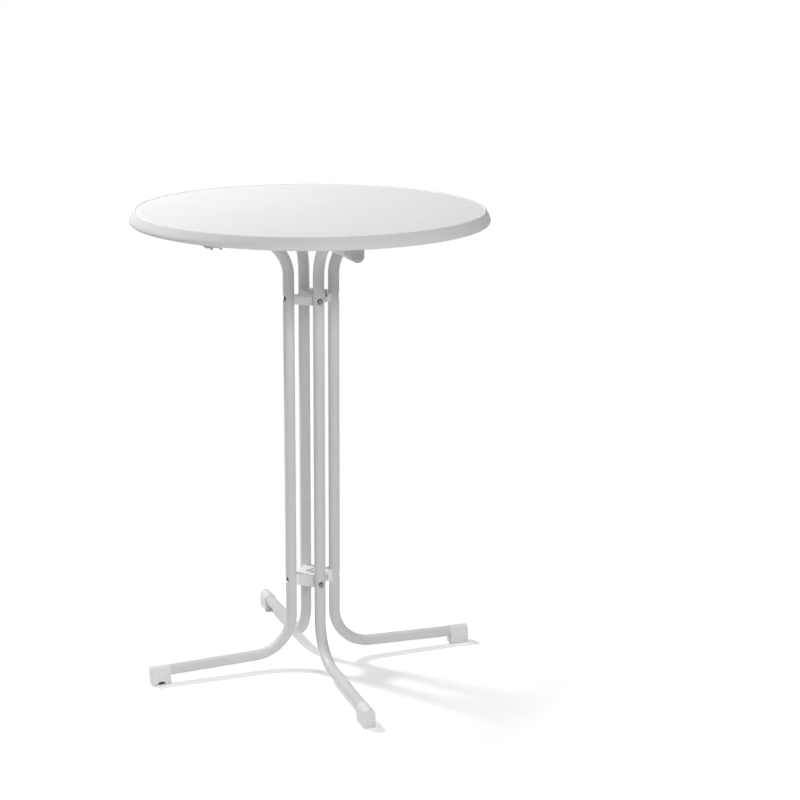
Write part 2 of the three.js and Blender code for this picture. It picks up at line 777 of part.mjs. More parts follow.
function tableTop() {
  const outline = [
    { r: 0, z: undersideHeight },
    ...rimProfile.map((p) => ({
      r: topRadius - rimWidth * p.acrossShare,
      z: overallHeight - rimDepth * p.downShare,
    })).reverse(),
    { r: 0, z: overallHeight - surfaceDrop },
  ];
  const hollows = [];
  for (const { radiusShare, count } of dimpleRings) {
    for (let i = 0; i < count; i += 1) {
      const angle = (2 * Math.PI * i) / count;
      const x = topRadius * radiusShare * Math.cos(angle);
      const y = topRadius * radiusShare * Math.sin(angle);
      if (!clearOfFittings(x, y)) continue;
      const depth = dimpleDepth + restGap;
      const cone = new THREE.CylinderGeometry(dimpleFloor, dimpleMouth, depth, dimpleSides);
      cone.rotateX(Math.PI / 2);
      cone.translate(x, y, undersideHeight + dimpleDepth - depth / 2);
      hollows.push(solidOf(cone));
    }
  }
  for (const bearing of [bearings.right, bearings.left]) {
    for (const [x, y] of flangeScrewPlaces()) {
      const holeTop = undersideHeight + boardScrewLength - flangeThickness + slideGap;
      const hole = post(boardScrewRadius + restGap, undersideHeight - restGap, holeTop);
      hollows.push(turned(hole.translate([x, y, 0]), bearing));
    }
  }
  return lathed(outline, topSides).subtract(wasm.Manifold.union(hollows));
}

// Assembly: what belongs to one tube is drawn towards +X and turned to the tube's bearing
addPart(table, 'tabletop', tableTop(), board);

const plainTube = bentTube(padReach - capEndWall - restGap);
const sideTube = bentTube(plugReach - plugFlange - restGap);
const levels = { upper: upperJointHeight, lower: lowerJointHeight };

for (const [side, bearing] of Object.entries(bearings)) {
  const arm = addGroup(bearing);
  addPart(arm, `foot_cap_${side}`, side === 'left' ? levellingCap() : endCap(footReach), moulding);
  for (const [level, height] of Object.entries(levels)) {
    addPart(arm, `tube_bolt_${side}_${level}`, tubeBolt(height), blackMetal);
    addPart(arm, `tube_bush_${side}_${level}`, tubeBush(height), brightSteel);
  }
  if (frameTwo.includes(side)) {
    addPart(arm, `tube_${side}`, plainTube, tubePaint);
    addPart(arm, `arm_pad_${side}`, padCap(), moulding);
    continue;
  }
  addPart(arm, `tube_${side}`, sideTube, tubePaint);
  addPart(arm, `arm_plug_${side}`, armPlug(), moulding);
  addPart(arm, `saddle_bracket_${side}`, saddleBracket(), greyMoulding);
  addPart(arm, `saddle_strap_${side}`, saddleStrap(), greyMoulding);
  addPart(arm, `strap_pin_${side}`, strapPin(), brightSteel);
  boardScrews().forEach((screw, i) => addPart(arm, `board_screw_${side}_${i + 1}`, screw, brightSteel));
}

const levelledLeg = addGroup(bearings.left);
addPart(levelledLeg, 'leveller_wheel', levellingWheel(), redMoulding);
addPart(levelledLeg, 'leveller_foot', levellingSole(), blackMetal);

const connectors = {
  upper: {
    side: upperSideYoke(),
    cross: upperCrossYoke(),
    boltTop: upperDiscTop,
    flanks: upperFlanks,
    flankHeight: upperFlankScrewHeight,
    nutBearing: bearings.right,
  },
  lower: {
    side: lowerSideYoke(),
    cross: lowerCrossYoke(),
    boltTop: pocketFloor,
    flanks: lowerFlanks,
    flankHeight: lowerFlankScrewHeight,
    nutBearing: bearings.back,
  },
};
for (const [level, connector] of Object.entries(connectors)) {
  const hub = addGroup(0, levels[level]);
  addPart(hub, `${level}_side_yoke`, connector.side, moulding);
  addPart(hub, `${level}_cross_yoke`, connector.cross, moulding);
  addPart(hub, `${level}_pivot_bolt`, pivotBolt(connector.boltTop), brightSteel);
  addPart(addGroup(connector.nutBearing, levels[level]), `${level}_pivot_nut`, pivotNut(), brightSteel);
  addPart(hub, `${level}_hub_washer`, hubWasher(), darkFibre);
  flankScrewBearings.forEach((bearing, i) => {
    const facing = i === 0 ? 'front' : 'back';
    const screw = flankScrew(connector.flanks[i], connector.flankHeight, bearing);
    addPart(hub, `${level}_hub_screw_${facing}`, screw, blackMetal);
  });
}

export default table;
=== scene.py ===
import json
import math

import bmesh
import bpy
from mathutils import Matrix, Vector


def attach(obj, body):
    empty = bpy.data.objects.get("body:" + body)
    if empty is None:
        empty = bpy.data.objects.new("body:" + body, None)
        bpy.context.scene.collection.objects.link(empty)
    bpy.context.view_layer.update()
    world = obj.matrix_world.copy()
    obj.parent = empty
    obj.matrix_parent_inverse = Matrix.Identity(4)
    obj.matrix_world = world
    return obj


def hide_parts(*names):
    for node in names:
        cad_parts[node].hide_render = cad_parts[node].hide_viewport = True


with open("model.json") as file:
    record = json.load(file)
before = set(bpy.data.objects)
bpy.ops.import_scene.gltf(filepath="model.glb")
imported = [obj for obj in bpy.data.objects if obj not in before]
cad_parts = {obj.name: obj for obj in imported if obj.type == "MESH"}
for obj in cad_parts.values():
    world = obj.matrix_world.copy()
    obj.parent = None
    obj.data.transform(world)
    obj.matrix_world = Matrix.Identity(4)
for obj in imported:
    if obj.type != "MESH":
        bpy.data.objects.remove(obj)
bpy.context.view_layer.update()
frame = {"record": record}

# Folding standing table: a round moulded top on four bent tubes that close like scissors.
# Sizes are in millimetres, +Z up, origin on the floor below the middle of the top, and each
# mesh is written in metres. What belongs to one tube is drawn towards +X and turned to the
# tube's bearing. Profiles of round pieces are pairs of radius and height.
MM = 0.001
BEARINGS = {"right": 0, "back": 90, "left": 180, "front": 270}
LEVELS = {"upper": 896.5, "lower": 219.5}

# Clearances, how far joined shapes lap, and how far a cut runs past what it cuts
REST_GAP = 0.3
SLIDE_GAP = 0.6
STOP_GAP = 0.8
LAP = 1.0
OVERRUN = 3.0

# Sides of round pieces
RIM_SIDES = 256
DISC_SIDES = 128
ROUND_SIDES = 96
SMALL_SIDES = 64
SCREW_SIDES = 48
HOLE_SIDES = 32

# The whole table
TOP_R = 406.5
TOP_Z = 1100.0
UNDER_Z = TOP_Z - 26.0
TUBE_R = 13.0
RING_R = 54.0
BEND_R = 92.0
SLOPE = math.radians(1.6)
FOOT_END = 399.0
PAD_END = 320.0
PLUG_END = 252.0

# Table top, its rim given inwards from the widest circle and down from the top:
# the groove, the bead, the flare and the tuck below
RIM = (
    (26.5, 1.0), (19.0, 1.0), (18.2, 1.05), (17.4, 1.5), (16.6, 1.8), (15.8, 1.5), (15.1, 1.1),
    (14.0, 0.4), (12.9, 0.05), (12.3, 0.0), (11.1, 0.2), (10.0, 0.7), (9.2, 1.5), (8.6, 2.4),
    (7.3, 5.2), (4.8, 9.6), (2.8, 13.8), (1.0, 17.8), (0.3, 20.2), (0.0, 22.0), (0.1, 23.6),
    (0.6, 25.2), (1.4, 26.5), (2.4, 27.5), (3.5, 27.95), (5.9, 28.0), (7.2, 27.4), (7.8, 26.4),
    (8.3, 26.0),
)
SURFACE_DROP = 1.0
MIDDLE_R = 60.0
DIMPLE_RINGS = ((0.258, 6), (0.728, 12), (0.876, 16))
DIMPLE = ((12.6, -0.6), (12.15, -0.1), (11.7, 0.5), (11.3, 1.4), (8.2, 9.0), (7.6, 10.1), (6.6, 10.8),
          (5.2, 11.0))
DIMPLE_ROOM = 15.0

# Tubes: steps along their stretches, and the seat pressed for each bolt
RUN_STEPS = 5
BEND_STEPS = 28
UPRIGHT_STEPS = 9
SEAT_BAND_STEPS = 20
SEAT_BAND_STEP = 0.65
SEAT_FACE = 7.1
SEAT_R = 6.5
SEAT_SLOPE = 3.0
CAP_WALL = 3.3
PLUG_WALL = 2.8

# Feet and pads: one moulding of D section, flat side on the floor or up under the top
CAP_W = 29.6
CAP_LEN = 46.0
CAP_ARCH = 30.5
CAP_CORNER = 3.0
CAP_END_ROUND = 1.6
CAP_END_LEAD = 1.0
CAP_END_STEPS = 6
LIP_ROUND = 0.7
LIP_STEPS = 4
CAP_ARC_STEPS = 48
CAP_SIDE_STEPS = 8
CAP_FLAT_STEPS = 10
CAP_STEP = 0.4
# Depth of the mouth from its edge, and its gap to the tube
CAP_MOUTH = ((9.0, 0.15), (3.4, 0.15), (3.2, 0.85), (0.4, 0.9), (0.05, 1.0))
# The collar round the mouth: distances from the mouth's edge, and how far in the section is
CAP_COLLAR = ((5.4, 0.0), (5.8, 0.1), (6.0, 0.35), (6.2, CAP_STEP), (14.0, CAP_STEP))

# Levelling foot in the left cap
WHEEL_R = 14.8
WHEEL_LOW = 3.6
WHEEL_HIGH = 8.6
WHEEL_TEETH = 12
WHEEL_SIDES = 20 * WHEEL_TEETH
WHEEL_NOTCH = 1.3
WHEEL_FACE_R = 9.5
WHEEL_ROUND = 0.5
WHEEL_MID = 0.15
STUD_R = 4.0
STUD_FLAT = 2.9
STUD_TOP = 15.4
STUD_CHAMFER = 0.5
STUD_CHAMFER_DROP = 0.4
SOLE_R = 9.6
SOLE = ((6.4, 0.35), (7.0, 0.0), (8.9, 0.0), (9.4, 0.2), (SOLE_R, 0.7), (SOLE_R, 2.2), (9.3, 2.75),
        (8.6, 3.0), (4.6, 3.0))
SOLE_TOP = 3.0
WINDOW_HALF = 9.0
WINDOW_SPRING = 4.0
WINDOW_ARCH = 4.9
WINDOW_STEPS = 16
WINDOW_DEPTH = 20.0

# Connector yokes
YOKE_HALF = 14.0
THROUGH = 2 * YOKE_HALF
DISC_R = 35.0
SMALL_R = 30.0
UPPER_DISC_R = 33.0
UPPER_DISC_TOP = 6.1
UPPER_SIDE_CUP = 6.7
UPPER_CROSS_CUP = 10.5
PARTING = 0.7
CLEAR_R = DISC_R + SLIDE_GAP
TUBE_FACE = RING_R - TUBE_R
CUP_END = TUBE_FACE + 4.0
CUP_HALF = 11.3
ARM_HALF = 9.0
ARM_ROOT = 20.0
BOSS_R = 22.0
BOSS_DEPTH = 3.0
BOSS_DROP = 1.0
NEAR_WEB = 35.0
FAR_WEB = 39.0
UPPER_WEB_TOP = 5.6
FAR_WEB_TOP = 12.0
UPPER_RISE = 3.6
LOWER_RISE = 5.0
RELIEF_RUN = 1.0
HUB_CUT_NEAR = 10.4
HUB_CUT_FAR = 70.0
HUB_CUT_HALF = 35.5
HUB_CUT_BEARING = 190
POCKET_R = 32.2
POCKET_Z = 10.0
POCKET_SHARES = ((-0.5, 0.12), (-0.34, -1), (0.12, -1), (0.56, -0.19), (0.56, 0.56), (0.19, 0.56))

# Fasteners of the connectors
BOLT_R = 3.0
BOLT_HEAD_R = 4.8
BOLT_HEAD = 2.6
BOLT_HEAD_END = 64.0
BOLT_SOCKET = 4.0
BOLT_SOCKET_DEPTH = 1.5
BUSH_R = 4.5
BUSH_FACE_R = 3.3
BUSH_BORE = 3.25
BUSH_EDGE = 0.2
BUSH_END = 40.4
BUSH_FLANGE_R = 5.6
BUSH_FLANGE = 1.6
BUSH_WAY_END = 44.0
PIVOT_R = 4.0
PIVOT_HEAD_R = 6.6
PIVOT_HEAD = 4.4
PIVOT_SOCKET = 5.0
PIVOT_SOCKET_DEPTH = 2.4
NUT_FLATS = 13.0
NUT_HEIGHT = 6.0
NUT_END_R = 6.6
NUT_LOW_R = 7.5
NUT_HIGH_R = 7.6
NUT_CHAMFER = 0.5
NUT_BEARINGS = {"upper": 0, "lower": 90}
WASHER_R = 14.0
WASHER_HALF = 0.4
WASHER_ROUND = 0.3
WASHER_EDGE = 0.2
WASHER_BORE = 4.6
FLANK_BEARINGS = {"front": 315, "back": 135}
FLANK_REACHES = {"upper": (UPPER_DISC_R, SMALL_R), "lower": (DISC_R, DISC_R)}
FLANK_Z = {"upper": 3.4, "lower": 5.5}
FLANK_R = 1.1
FLANK_LENGTH = 9.0
FLANK_HEAD_R = 1.8
FLANK_HEAD = 1.6
FLANK_HEAD_ROUND = 0.3
FLANK_SOCKET = 1.7
FLANK_SOCKET_DEPTH = 0.9

# Shapes of socket screws
TIP_CHAMFER = 0.3
HEAD_EDGE = 0.2
HEAD_ROUND = 0.6
HEAD_IN_SHARE = 0.3
HEAD_DOWN_SHARE = 0.4
SOCKET_LEAD_SHARE = 1.2
SOCKET_LEAD = 0.3
SOCKET_FLOOR_SHARE = 0.25
SOCKET_CONE_SHARE = 0.1

# Saddle brackets under the top
NEAR, FAR = 205.0, 251.0
SADDLE_MID = (NEAR + FAR) / 2
SADDLE_HALF = 21.0
CHEEK_Z = TOP_Z - 69.0
FLANGE_HALF = 38.0
FLANGE = 5.0
FLANGE_CORNER = 5.0
SCREW_INSET = 8.0
SCREW_OFFSET = 30.5
SCREW_HOLE_R = 2.5
SCREW_HOLE_DEPTH = 30.0
BOARD_SCREW = ((2.4, -2.6), (3.5, -2.4), (4.05, -1.7), (4.2, -0.9), (4.2, -0.2), (4.0, 0.0), (2.2, 0.0),
               (2.2, 11.0), (1.3, 13.0), (0.4, 14.0))
CROSS_SLOT_HALF = 2.1
CROSS_SLOT_HALF_WIDTH = 0.45
CROSS_SLOT_DEPTH = 1.2

# Straps that close the saddles from below
STRAP_Z = TOP_Z - 75.0
STRAP = 3.0
STRAP_INSET = 1.0
STRAP_EDGE = 17.0
RIB_HALF = 9.0
RIB_LIFT = 1.0
LIP = 3.0
LIP_TOP = TOP_Z - 60.0
PIN_OFFSET = 22.0
PIN_R = 2.0
PIN_CHAMFER = 0.3
KNUCKLE_R = 4.2
KNUCKLE = 9.0
KNUCKLE_OUTER = 26.2
KNUCKLE_INNER = 16.8
KNUCKLE_WAY_OUTER = 29.2
KNUCKLE_WAY_INNER = 17.2
PIN_Z = STRAP_Z + KNUCKLE_R
SNAPS = (211.0, 232.0)
SNAP_Z = TOP_Z - 64.0
SNAP_HALF = 3.0
TAB_WIDTH = 5.0
TAB_DROP = 4.3
NOSE_WIDTH = 4.6
# The nose's outline, outwards from the cheek and down from its top
NOSE = ((0.0, 4.2), (1.5, 1.8), (1.85, 1.2), (1.9, 0.3), (1.6, 0.0))

# End plugs of the left and right upper runs, given from the spigot's end to the cover
PLUG = ((9.9, 0.0), (10.9, 1.0), (10.9, 12.0), (12.2, 12.0), (12.4, 12.2), (12.4, 13.3), (12.2, 13.9),
        (11.6, 14.35), (10.6, 14.5))

# Derived levels and reaches
PAD_LEVEL = UNDER_Z - REST_GAP
FOOT_MID = FOOT_END - CAP_LEN / 2
PAD_MID = PAD_END - CAP_LEN / 2
BEND_MID = RING_R + BEND_R
RUN_START = BEND_MID - BEND_R * math.sin(SLOPE)


def leg_height(reach):
    return CAP_ARCH - (reach - FOOT_MID) * math.tan(SLOPE)


def arm_height(reach):
    return PAD_LEVEL - CAP_ARCH + (reach - PAD_MID) * math.tan(SLOPE)


LOW_BEND = leg_height(RUN_START) + BEND_R * math.cos(SLOPE)
HIGH_BEND = arm_height(RUN_START) - BEND_R * math.cos(SLOPE)

# Finishes: sizes of the patterns and how far they move the tone
CLOUD_MM = 70.0
PATCH_MM = 18.0
SCUFF_MM = 3.0
WAVE_DEPTH_MM = 0.3
CLOUD_LIGHT_SHARE = 0.6
GRAIN_MIX = 0.25
GRAIN_TONE = 0.93
GLOSS_BELOW = 0.05
GLOSS_ABOVE = 0.06
SCUFF_RANGE = (0.42, 0.6)
TOP_TONE = (0.865, 0.852, 0.856)
TUBE_TONE = (0.748, 0.75, 0.765)
CAP_TONE = (0.88, 0.88, 0.87)
# The pads are the feet's white moulding, darkened as painted shade for the shadow under the top.
PAD_PAINTED_SHADE_TONE = (0.60, 0.60, 0.585)
HUB_TONE = (0.92, 0.92, 0.915)
BRACKET_TONE = (0.55, 0.55, 0.54)
BLACK_TONE = (0.02, 0.02, 0.022)
STEEL_TONE = (0.58, 0.59, 0.60)
# The wheel's own red, darkened further as painted shade for the dark recess it turns in.
RED_PAINTED_SHADE_TONE = (0.17, 0.010, 0.014)
FIBRE_TONE = (0.045, 0.041, 0.038)
# Dirt on the feet: full below the first height, none above the second
FOOT_DIRT = (0.4, 3.0, (0.45, 0.44, 0.42))


# Material nodes
def link(tree, a, b):
    tree.links.new(a, b)


def empty_tree(owner):
    """The node tree of a material or world, cleared."""
    owner.use_nodes = True
    owner.node_tree.nodes.clear()
    return owner.node_tree


def noise(tree, coords, size_mm, detail, rough=0.5):
    """Noise whose blotches are about size_mm across, in object space."""
    node = tree.nodes.new("ShaderNodeTexNoise")
    node.inputs["Scale"].default_value = 1 / (size_mm * MM)
    node.inputs["Detail"].default_value = detail
    node.inputs["Roughness"].default_value = rough
    link(tree, coords, node.inputs["Vector"])
    return node.outputs["Fac"]


def spread(tree, value, low, high, from_low=0.3, from_high=0.7):
    """Maps a range, as a rule the middle one of the noise, to low and high."""
    node = tree.nodes.new("ShaderNodeMapRange")
    node.inputs["From Min"].default_value = from_low
    node.inputs["From Max"].default_value = from_high
    node.inputs["To Min"].default_value = low
    node.inputs["To Max"].default_value = high
    link(tree, value, node.inputs["Value"])
    return node.outputs["Result"]


def combine(tree, operation, a, b):
    """A Math node on an output and another output or number."""
    node = tree.nodes.new("ShaderNodeMath")
    node.operation = operation
    link(tree, a, node.inputs[0])
    if isinstance(b, float):
        node.inputs[1].default_value = b
    else:
        link(tree, b, node.inputs[1])
    return node.outputs[0]


def blend_colours(tree, fac, a, b):
    """Mixes two colours, each an output or a tuple."""
    node = tree.nodes.new("ShaderNodeMix")
    node.data_type = "RGBA"
    link(tree, fac, node.inputs["Factor"])
    for value, key in ((a, "A"), (b, "B")):
        socket = [s for s in node.inputs if s.name == key and s.type == "RGBA"][0]
        if isinstance(value, tuple):
            socket.default_value = (*value, 1)
        else:
            link(tree, value, socket)
    return [s for s in node.outputs if s.type == "RGBA"][0]


def bump(tree, height, strength, distance_mm, base=None):
    node = tree.nodes.new("ShaderNodeBump")
    node.inputs["Strength"].default_value = strength
    node.inputs["Distance"].default_value = distance_mm * MM
    link(tree, height, node.inputs["Height"])
    if base is not None:
        link(tree, base, node.inputs["Normal"])
    return node.outputs["Normal"]


def shade(colour, factor):
    return tuple(min(1.0, c * factor) for c in colour)


def scuffed(tree, coords, tone, dull):
    """The tone with scuffs near the floor, dull being two heights in mm and the dirt's colour."""
    low, high, dirt = dull
    position = tree.nodes.new("ShaderNodeSeparateXYZ")
    link(tree, coords, position.inputs[0])
    worn = spread(tree, position.outputs["Z"], 1, 0, low * MM, high * MM)
    scuffs = spread(tree, noise(tree, coords, SCUFF_MM, 5.0, 0.7), 0, 1, *SCUFF_RANGE)
    return blend_colours(tree, combine(tree, "MULTIPLY", worn, scuffs), tone, dirt)


def finish_material(name, colour, rough, *, grain_mm, grain, depth_mm, wave_mm, wave, mottle,
                    metal=0.0, specks=0.0, specular=0.5, dull=None):
    """A surface with clouds in its tone, a fine grain, patches in its gloss and soft waves."""
    mat = bpy.data.materials.new(name)
    tree = empty_tree(mat)
    out = tree.nodes.new("ShaderNodeOutputMaterial")
    bsdf = tree.nodes.new("ShaderNodeBsdfPrincipled")
    link(tree, bsdf.outputs[0], out.inputs["Surface"])
    coords = tree.nodes.new("ShaderNodeTexCoord").outputs["Object"]
    clouds = spread(tree, noise(tree, coords, CLOUD_MM, 4.0), 0, 1)
    darker = shade(colour, 1 - mottle)
    lighter = shade(colour, 1 + mottle * CLOUD_LIGHT_SHARE)
    tone = blend_colours(tree, clouds, darker, lighter)
    fine = noise(tree, coords, grain_mm, 2.0)
    grains = spread(tree, fine, 0, GRAIN_MIX + specks)
    tone = blend_colours(tree, grains, tone, shade(colour, GRAIN_TONE - specks))
    if dull:
        tone = scuffed(tree, coords, tone, dull)
    link(tree, tone, bsdf.inputs["Base Color"])
    patches = noise(tree, coords, PATCH_MM, 3.0)
    link(tree, spread(tree, patches, rough - GLOSS_BELOW, rough + GLOSS_ABOVE), bsdf.inputs["Roughness"])
    bsdf.inputs["Metallic"].default_value = metal
    bsdf.inputs["Specular IOR Level"].default_value = specular
    waves = bump(tree, noise(tree, coords, wave_mm, 2.0), wave, WAVE_DEPTH_MM)
    link(tree, bump(tree, fine, grain, depth_mm, waves), bsdf.inputs["Normal"])
    return mat


MOULDED = {"grain_mm": 0.7, "grain": 0.25, "depth_mm": 0.04, "mottle": 0.02}
top_mat = finish_material("top_shell", TOP_TONE, 0.6, grain_mm=1.6, grain=0.3, depth_mm=0.05,
                          wave_mm=30.0, wave=0.02, mottle=0.012, specular=0.12)
tube_mat = finish_material("tube_powder_coat", TUBE_TONE, 0.34, grain_mm=1.1, grain=0.35,
                           depth_mm=0.04, wave_mm=5.0, wave=0.05, mottle=0.02, specular=0.3)
cap_mat = finish_material("cap_moulding", CAP_TONE, 0.5, wave_mm=14.0, wave=0.08, **MOULDED)
# Pad material: the white moulding with painted shade for the shadow under the top.
pad_painted_shade_mat = finish_material("pad_moulding_painted_shade", PAD_PAINTED_SHADE_TONE, 0.5, wave_mm=14.0, wave=0.08, specular=0.3, **MOULDED)
foot_mat = finish_material("foot_moulding", CAP_TONE, 0.5, wave_mm=14.0, wave=0.08, dull=FOOT_DIRT,
                           **MOULDED)
hub_mat = finish_material("hub_moulding", HUB_TONE, 0.48, wave_mm=10.0, wave=0.1, **MOULDED)
bracket_mat = finish_material("bracket_moulding", BRACKET_TONE, 0.55, grain_mm=0.8, grain=0.3,
                              depth_mm=0.05, wave_mm=12.0, wave=0.1, mottle=0.03)
black_mat = finish_material("black_oxide", BLACK_TONE, 0.38, metal=0.35, grain_mm=0.5, grain=0.2,
                            depth_mm=0.02, wave_mm=2.0, wave=0.1, mottle=0.2)
steel_mat = finish_material("zinc_steel", STEEL_TONE, 0.3, metal=1.0, grain_mm=0.6, grain=0.2,
                            depth_mm=0.02, wave_mm=2.5, wave=0.12, mottle=0.06)
# Wheel material: red with painted shade for the recess in the foot cap.
red_painted_shade_mat = finish_material("red_moulding_painted_shade", RED_PAINTED_SHADE_TONE, 0.45, grain_mm=0.6, grain=0.2, depth_mm=0.03,
                          wave_mm=4.0, wave=0.1, mottle=0.08)
fibre_mat = finish_material("dark_fibre", FIBRE_TONE, 0.85, grain_mm=0.4, grain=0.6, depth_mm=0.06,
                            wave_mm=1.5, wave=0.3, mottle=0.15, specks=0.2)
MATERIAL_OF_SLOT = {
    "top_white": top_mat,
    "tube_grey": tube_mat,
    "cap_white": cap_mat,
    "bracket_grey": bracket_mat,
    "bolt_black": black_mat,
    "steel": steel_mat,
    "wheel_red": red_painted_shade_mat,
    "washer_dark": fibre_mat,
}


# Shapes
class Body:
    """A closed mesh under construction, in mm."""

    def __init__(self, verts, faces):
        self.verts = [tuple(v) for v in verts]
        self.faces = [tuple(f) for f in faces]

    def moved(self, matrix):
        return Body([tuple(matrix @ Vector(v)) for v in self.verts], self.faces)

    def at(self, x=0, y=0, z=0):
        return self.moved(Matrix.Translation((x, y, z)))

    def turned(self, degrees, axis="Z"):
        return self.moved(Matrix.Rotation(math.radians(degrees), 4, axis))

    def along_x(self, reach=0, height=0):
        """Drawn standing on the origin along +Z, laid along +X."""
        return self.turned(90, "Y").at(reach, 0, height)

    def mirrored(self, axis):
        scale = [1, 1, 1]
        scale[axis] = -1
        flipped = self.moved(Matrix.Diagonal((*scale, 1)))
        flipped.faces = [tuple(reversed(f)) for f in flipped.faces]
        return flipped

    def joined(self, other):
        n = len(self.verts)
        added = [tuple(i + n for i in face) for face in other.faces]
        return Body(self.verts + other.verts, self.faces + added)


def around(sides):
    """The angles of the corners of a round section."""
    return [2 * math.pi * i / sides for i in range(sides)]


def arc(start, end, steps):
    """The angles that part an arc into steps, with its ends."""
    return [start + (end - start) * i / steps for i in range(steps + 1)]


def between(start, end, steps):
    """The points that part a straight line into steps, without its ends."""
    return [tuple(a + (b - a) * i / steps for a, b in zip(start, end)) for i in range(1, steps)]


def loft(rings, capped=True):
    n = len(rings[0])
    verts = [point for ring in rings for point in ring]
    faces = []
    for i in range(len(rings) - 1):
        for j in range(n):
            k = (j + 1) % n
            faces.append((i * n + j, i * n + k, (i + 1) * n + k, (i + 1) * n + j))
    last = (len(rings) - 1) * n
    if capped:
        faces.append(tuple(reversed(range(n))))
        faces.append(tuple(last + j for j in range(n)))
    else:
        faces += [(last + j, last + (j + 1) % n, (j + 1) % n, j) for j in range(n)]
    return Body(verts, faces)


def circle(radius, sides, z=0.0):
    return [(radius * math.cos(a), radius * math.sin(a), z) for a in around(sides)]


def lathe(profile, sides):
    return loft([circle(radius, sides, z) for radius, z in profile])


def prism(points, low, high):
    return loft([[(x, y, low) for x, y in points], [(x, y, high) for x, y in points]])


def post(radius, low, high, sides=ROUND_SIDES):
    return prism([(x, y) for x, y, _ in circle(radius, sides)], low, high)


def block(x0, x1, y0, y1, z0, z1):
    return prism([(x0, y0), (x1, y0), (x1, y1), (x0, y1)], z0, z1)


def bar(radius, near, far, height):
    return post(radius, 0, far - near, SCREW_SIDES).along_x(near, height)


def hex_ring(flats, sides, z):
    """A hexagon given by as many points as a circle beside it has."""
    points = []
    for a in around(sides):
        off = (a % (math.pi / 3)) - math.pi / 6
        radius = flats / 2 / math.cos(off)
        points.append((radius * math.cos(a), radius * math.sin(a), z))
    return points


def hexagon(flats):
    return [(x, y) for x, y, _ in circle(flats / 2 / math.cos(math.pi / 6), 6)]


def mesh_of(body, name):
    mesh = bpy.data.meshes.new(name)
    mesh.from_pydata([(x * MM, y * MM, z * MM) for x, y, z in body.verts], [], body.faces)
    bm = bmesh.new()
    bm.from_mesh(mesh)
    bmesh.ops.recalc_face_normals(bm, faces=bm.faces)
    bm.to_mesh(mesh)
    bm.free()
    return mesh


class Solid:
    """Adds and cuts closed meshes with the exact boolean, one after the other."""

    def __init__(self, body):
        self.obj = bpy.data.objects.new("work", mesh_of(body, "work"))
        bpy.context.collection.objects.link(self.obj)

    def _apply(self, body, operation):
        tool = bpy.data.objects.new("tool", mesh_of(body, "tool"))
        bpy.context.collection.objects.link(tool)
        step = self.obj.modifiers.new("step", "BOOLEAN")
        step.operation = operation
        step.solver = "EXACT"
        step.object = tool
        graph = bpy.context.evaluated_depsgraph_get()
        mesh = bpy.data.meshes.new_from_object(self.obj.evaluated_get(graph))
        self.obj.modifiers.clear()
        self.obj.data = mesh
        bpy.data.objects.remove(tool)
        return self

    def add(self, *bodies):
        for body in bodies:
            self._apply(body, "UNION")
        return self

    def cut(self, *bodies):
        for body in bodies:
            self._apply(body, "DIFFERENCE")
        return self

    def common(self, body):
        return self._apply(body, "INTERSECT")

    def body(self):
        """The finished shape. It can be asked for once."""
        mesh = self.obj.data
        result = Body([tuple(v.co / MM) for v in mesh.vertices], [tuple(p.vertices) for p in mesh.polygons])
        bpy.data.objects.remove(self.obj)
        return result


# Pieces: each takes the place of a node of the frame. Angles are in degrees.
SHARP = 32
CAP_SHARP = 40
TOP_SHARP = 50
BEVEL_ANGLE = 35
BEVEL_SEGMENTS = 3
MERGE_MM = 0.01
FLAT_ANGLE = 0.5

BODY_OF_NODE = {}
for body_name, listed in frame["record"]["behaviour"]["bodies"].items():
    for node_name in listed:
        BODY_OF_NODE[node_name] = body_name


def slot_of(node):
    if node == "tabletop":
        return "top_white"
    if node.startswith("tube_") and not node.startswith(("tube_bolt", "tube_bush")):
        return "tube_grey"
    if node.startswith(("foot_cap", "arm_pad", "arm_plug")) or node.endswith("yoke"):
        return "cap_white"
    if node.startswith(("saddle_bracket", "saddle_strap")):
        return "bracket_grey"
    if node.startswith("tube_bolt") or "hub_screw" in node or node == "leveller_foot":
        return "bolt_black"
    if node == "leveller_wheel":
        return "wheel_red"
    if node.endswith("hub_washer"):
        return "washer_dark"
    return "steel"


def merge_flat_faces(mesh):
    bm = bmesh.new()
    bm.from_mesh(mesh)
    bmesh.ops.remove_doubles(bm, verts=bm.verts, dist=MERGE_MM * MM)
    bmesh.ops.dissolve_limit(bm, angle_limit=math.radians(FLAT_ANGLE), verts=bm.verts, edges=bm.edges)
    bm.to_mesh(mesh)
    bm.free()


def soften_edges(obj, width):
    soften = obj.modifiers.new("soften", "BEVEL")
    soften.width = width * MM
    soften.segments = BEVEL_SEGMENTS
    soften.limit_method = "ANGLE"
    soften.angle_limit = math.radians(BEVEL_ANGLE)
    soften.use_clamp_overlap = True
    soften.harden_normals = True


def piece(name, body, node, bearing=0, height=0, mat=None, sharp=SHARP, bevel=0.0, inlay=None):
    """Puts a finished mesh in place of a node of the frame.

    A piece with a bevel was made with booleans, so its flat faces are merged first. inlay is a
    second material and the faces that take it.
    """
    mesh = mesh_of(body.turned(bearing).at(0, 0, height), name)
    if bevel:
        merge_flat_faces(mesh)
    obj = bpy.data.objects.new(name, mesh)
    bpy.context.collection.objects.link(obj)
    mesh.materials.append(mat or MATERIAL_OF_SLOT[slot_of(node)])
    if inlay:
        second, faces = inlay
        mesh.materials.append(second)
        for i in faces:
            mesh.polygons[i].material_index = 1
    mesh.shade_smooth()
    mesh.set_sharp_from_angle(angle=math.radians(sharp))
    if bevel:
        soften_edges(obj, bevel)
    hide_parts(node)
    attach(obj, BODY_OF_NODE[node])


# Table top with moulded hollows below
def clear_of_fittings(x, y):
    room = DIMPLE_ROOM
    near_saddle = abs(y) < FLANGE_HALF + room and NEAR - room < abs(x) < FAR + room
    near_pad = abs(x) < CAP_W / 2 + room and PAD_END - CAP_LEN - room < abs(y) < PAD_END + room
    return not near_saddle and not near_pad


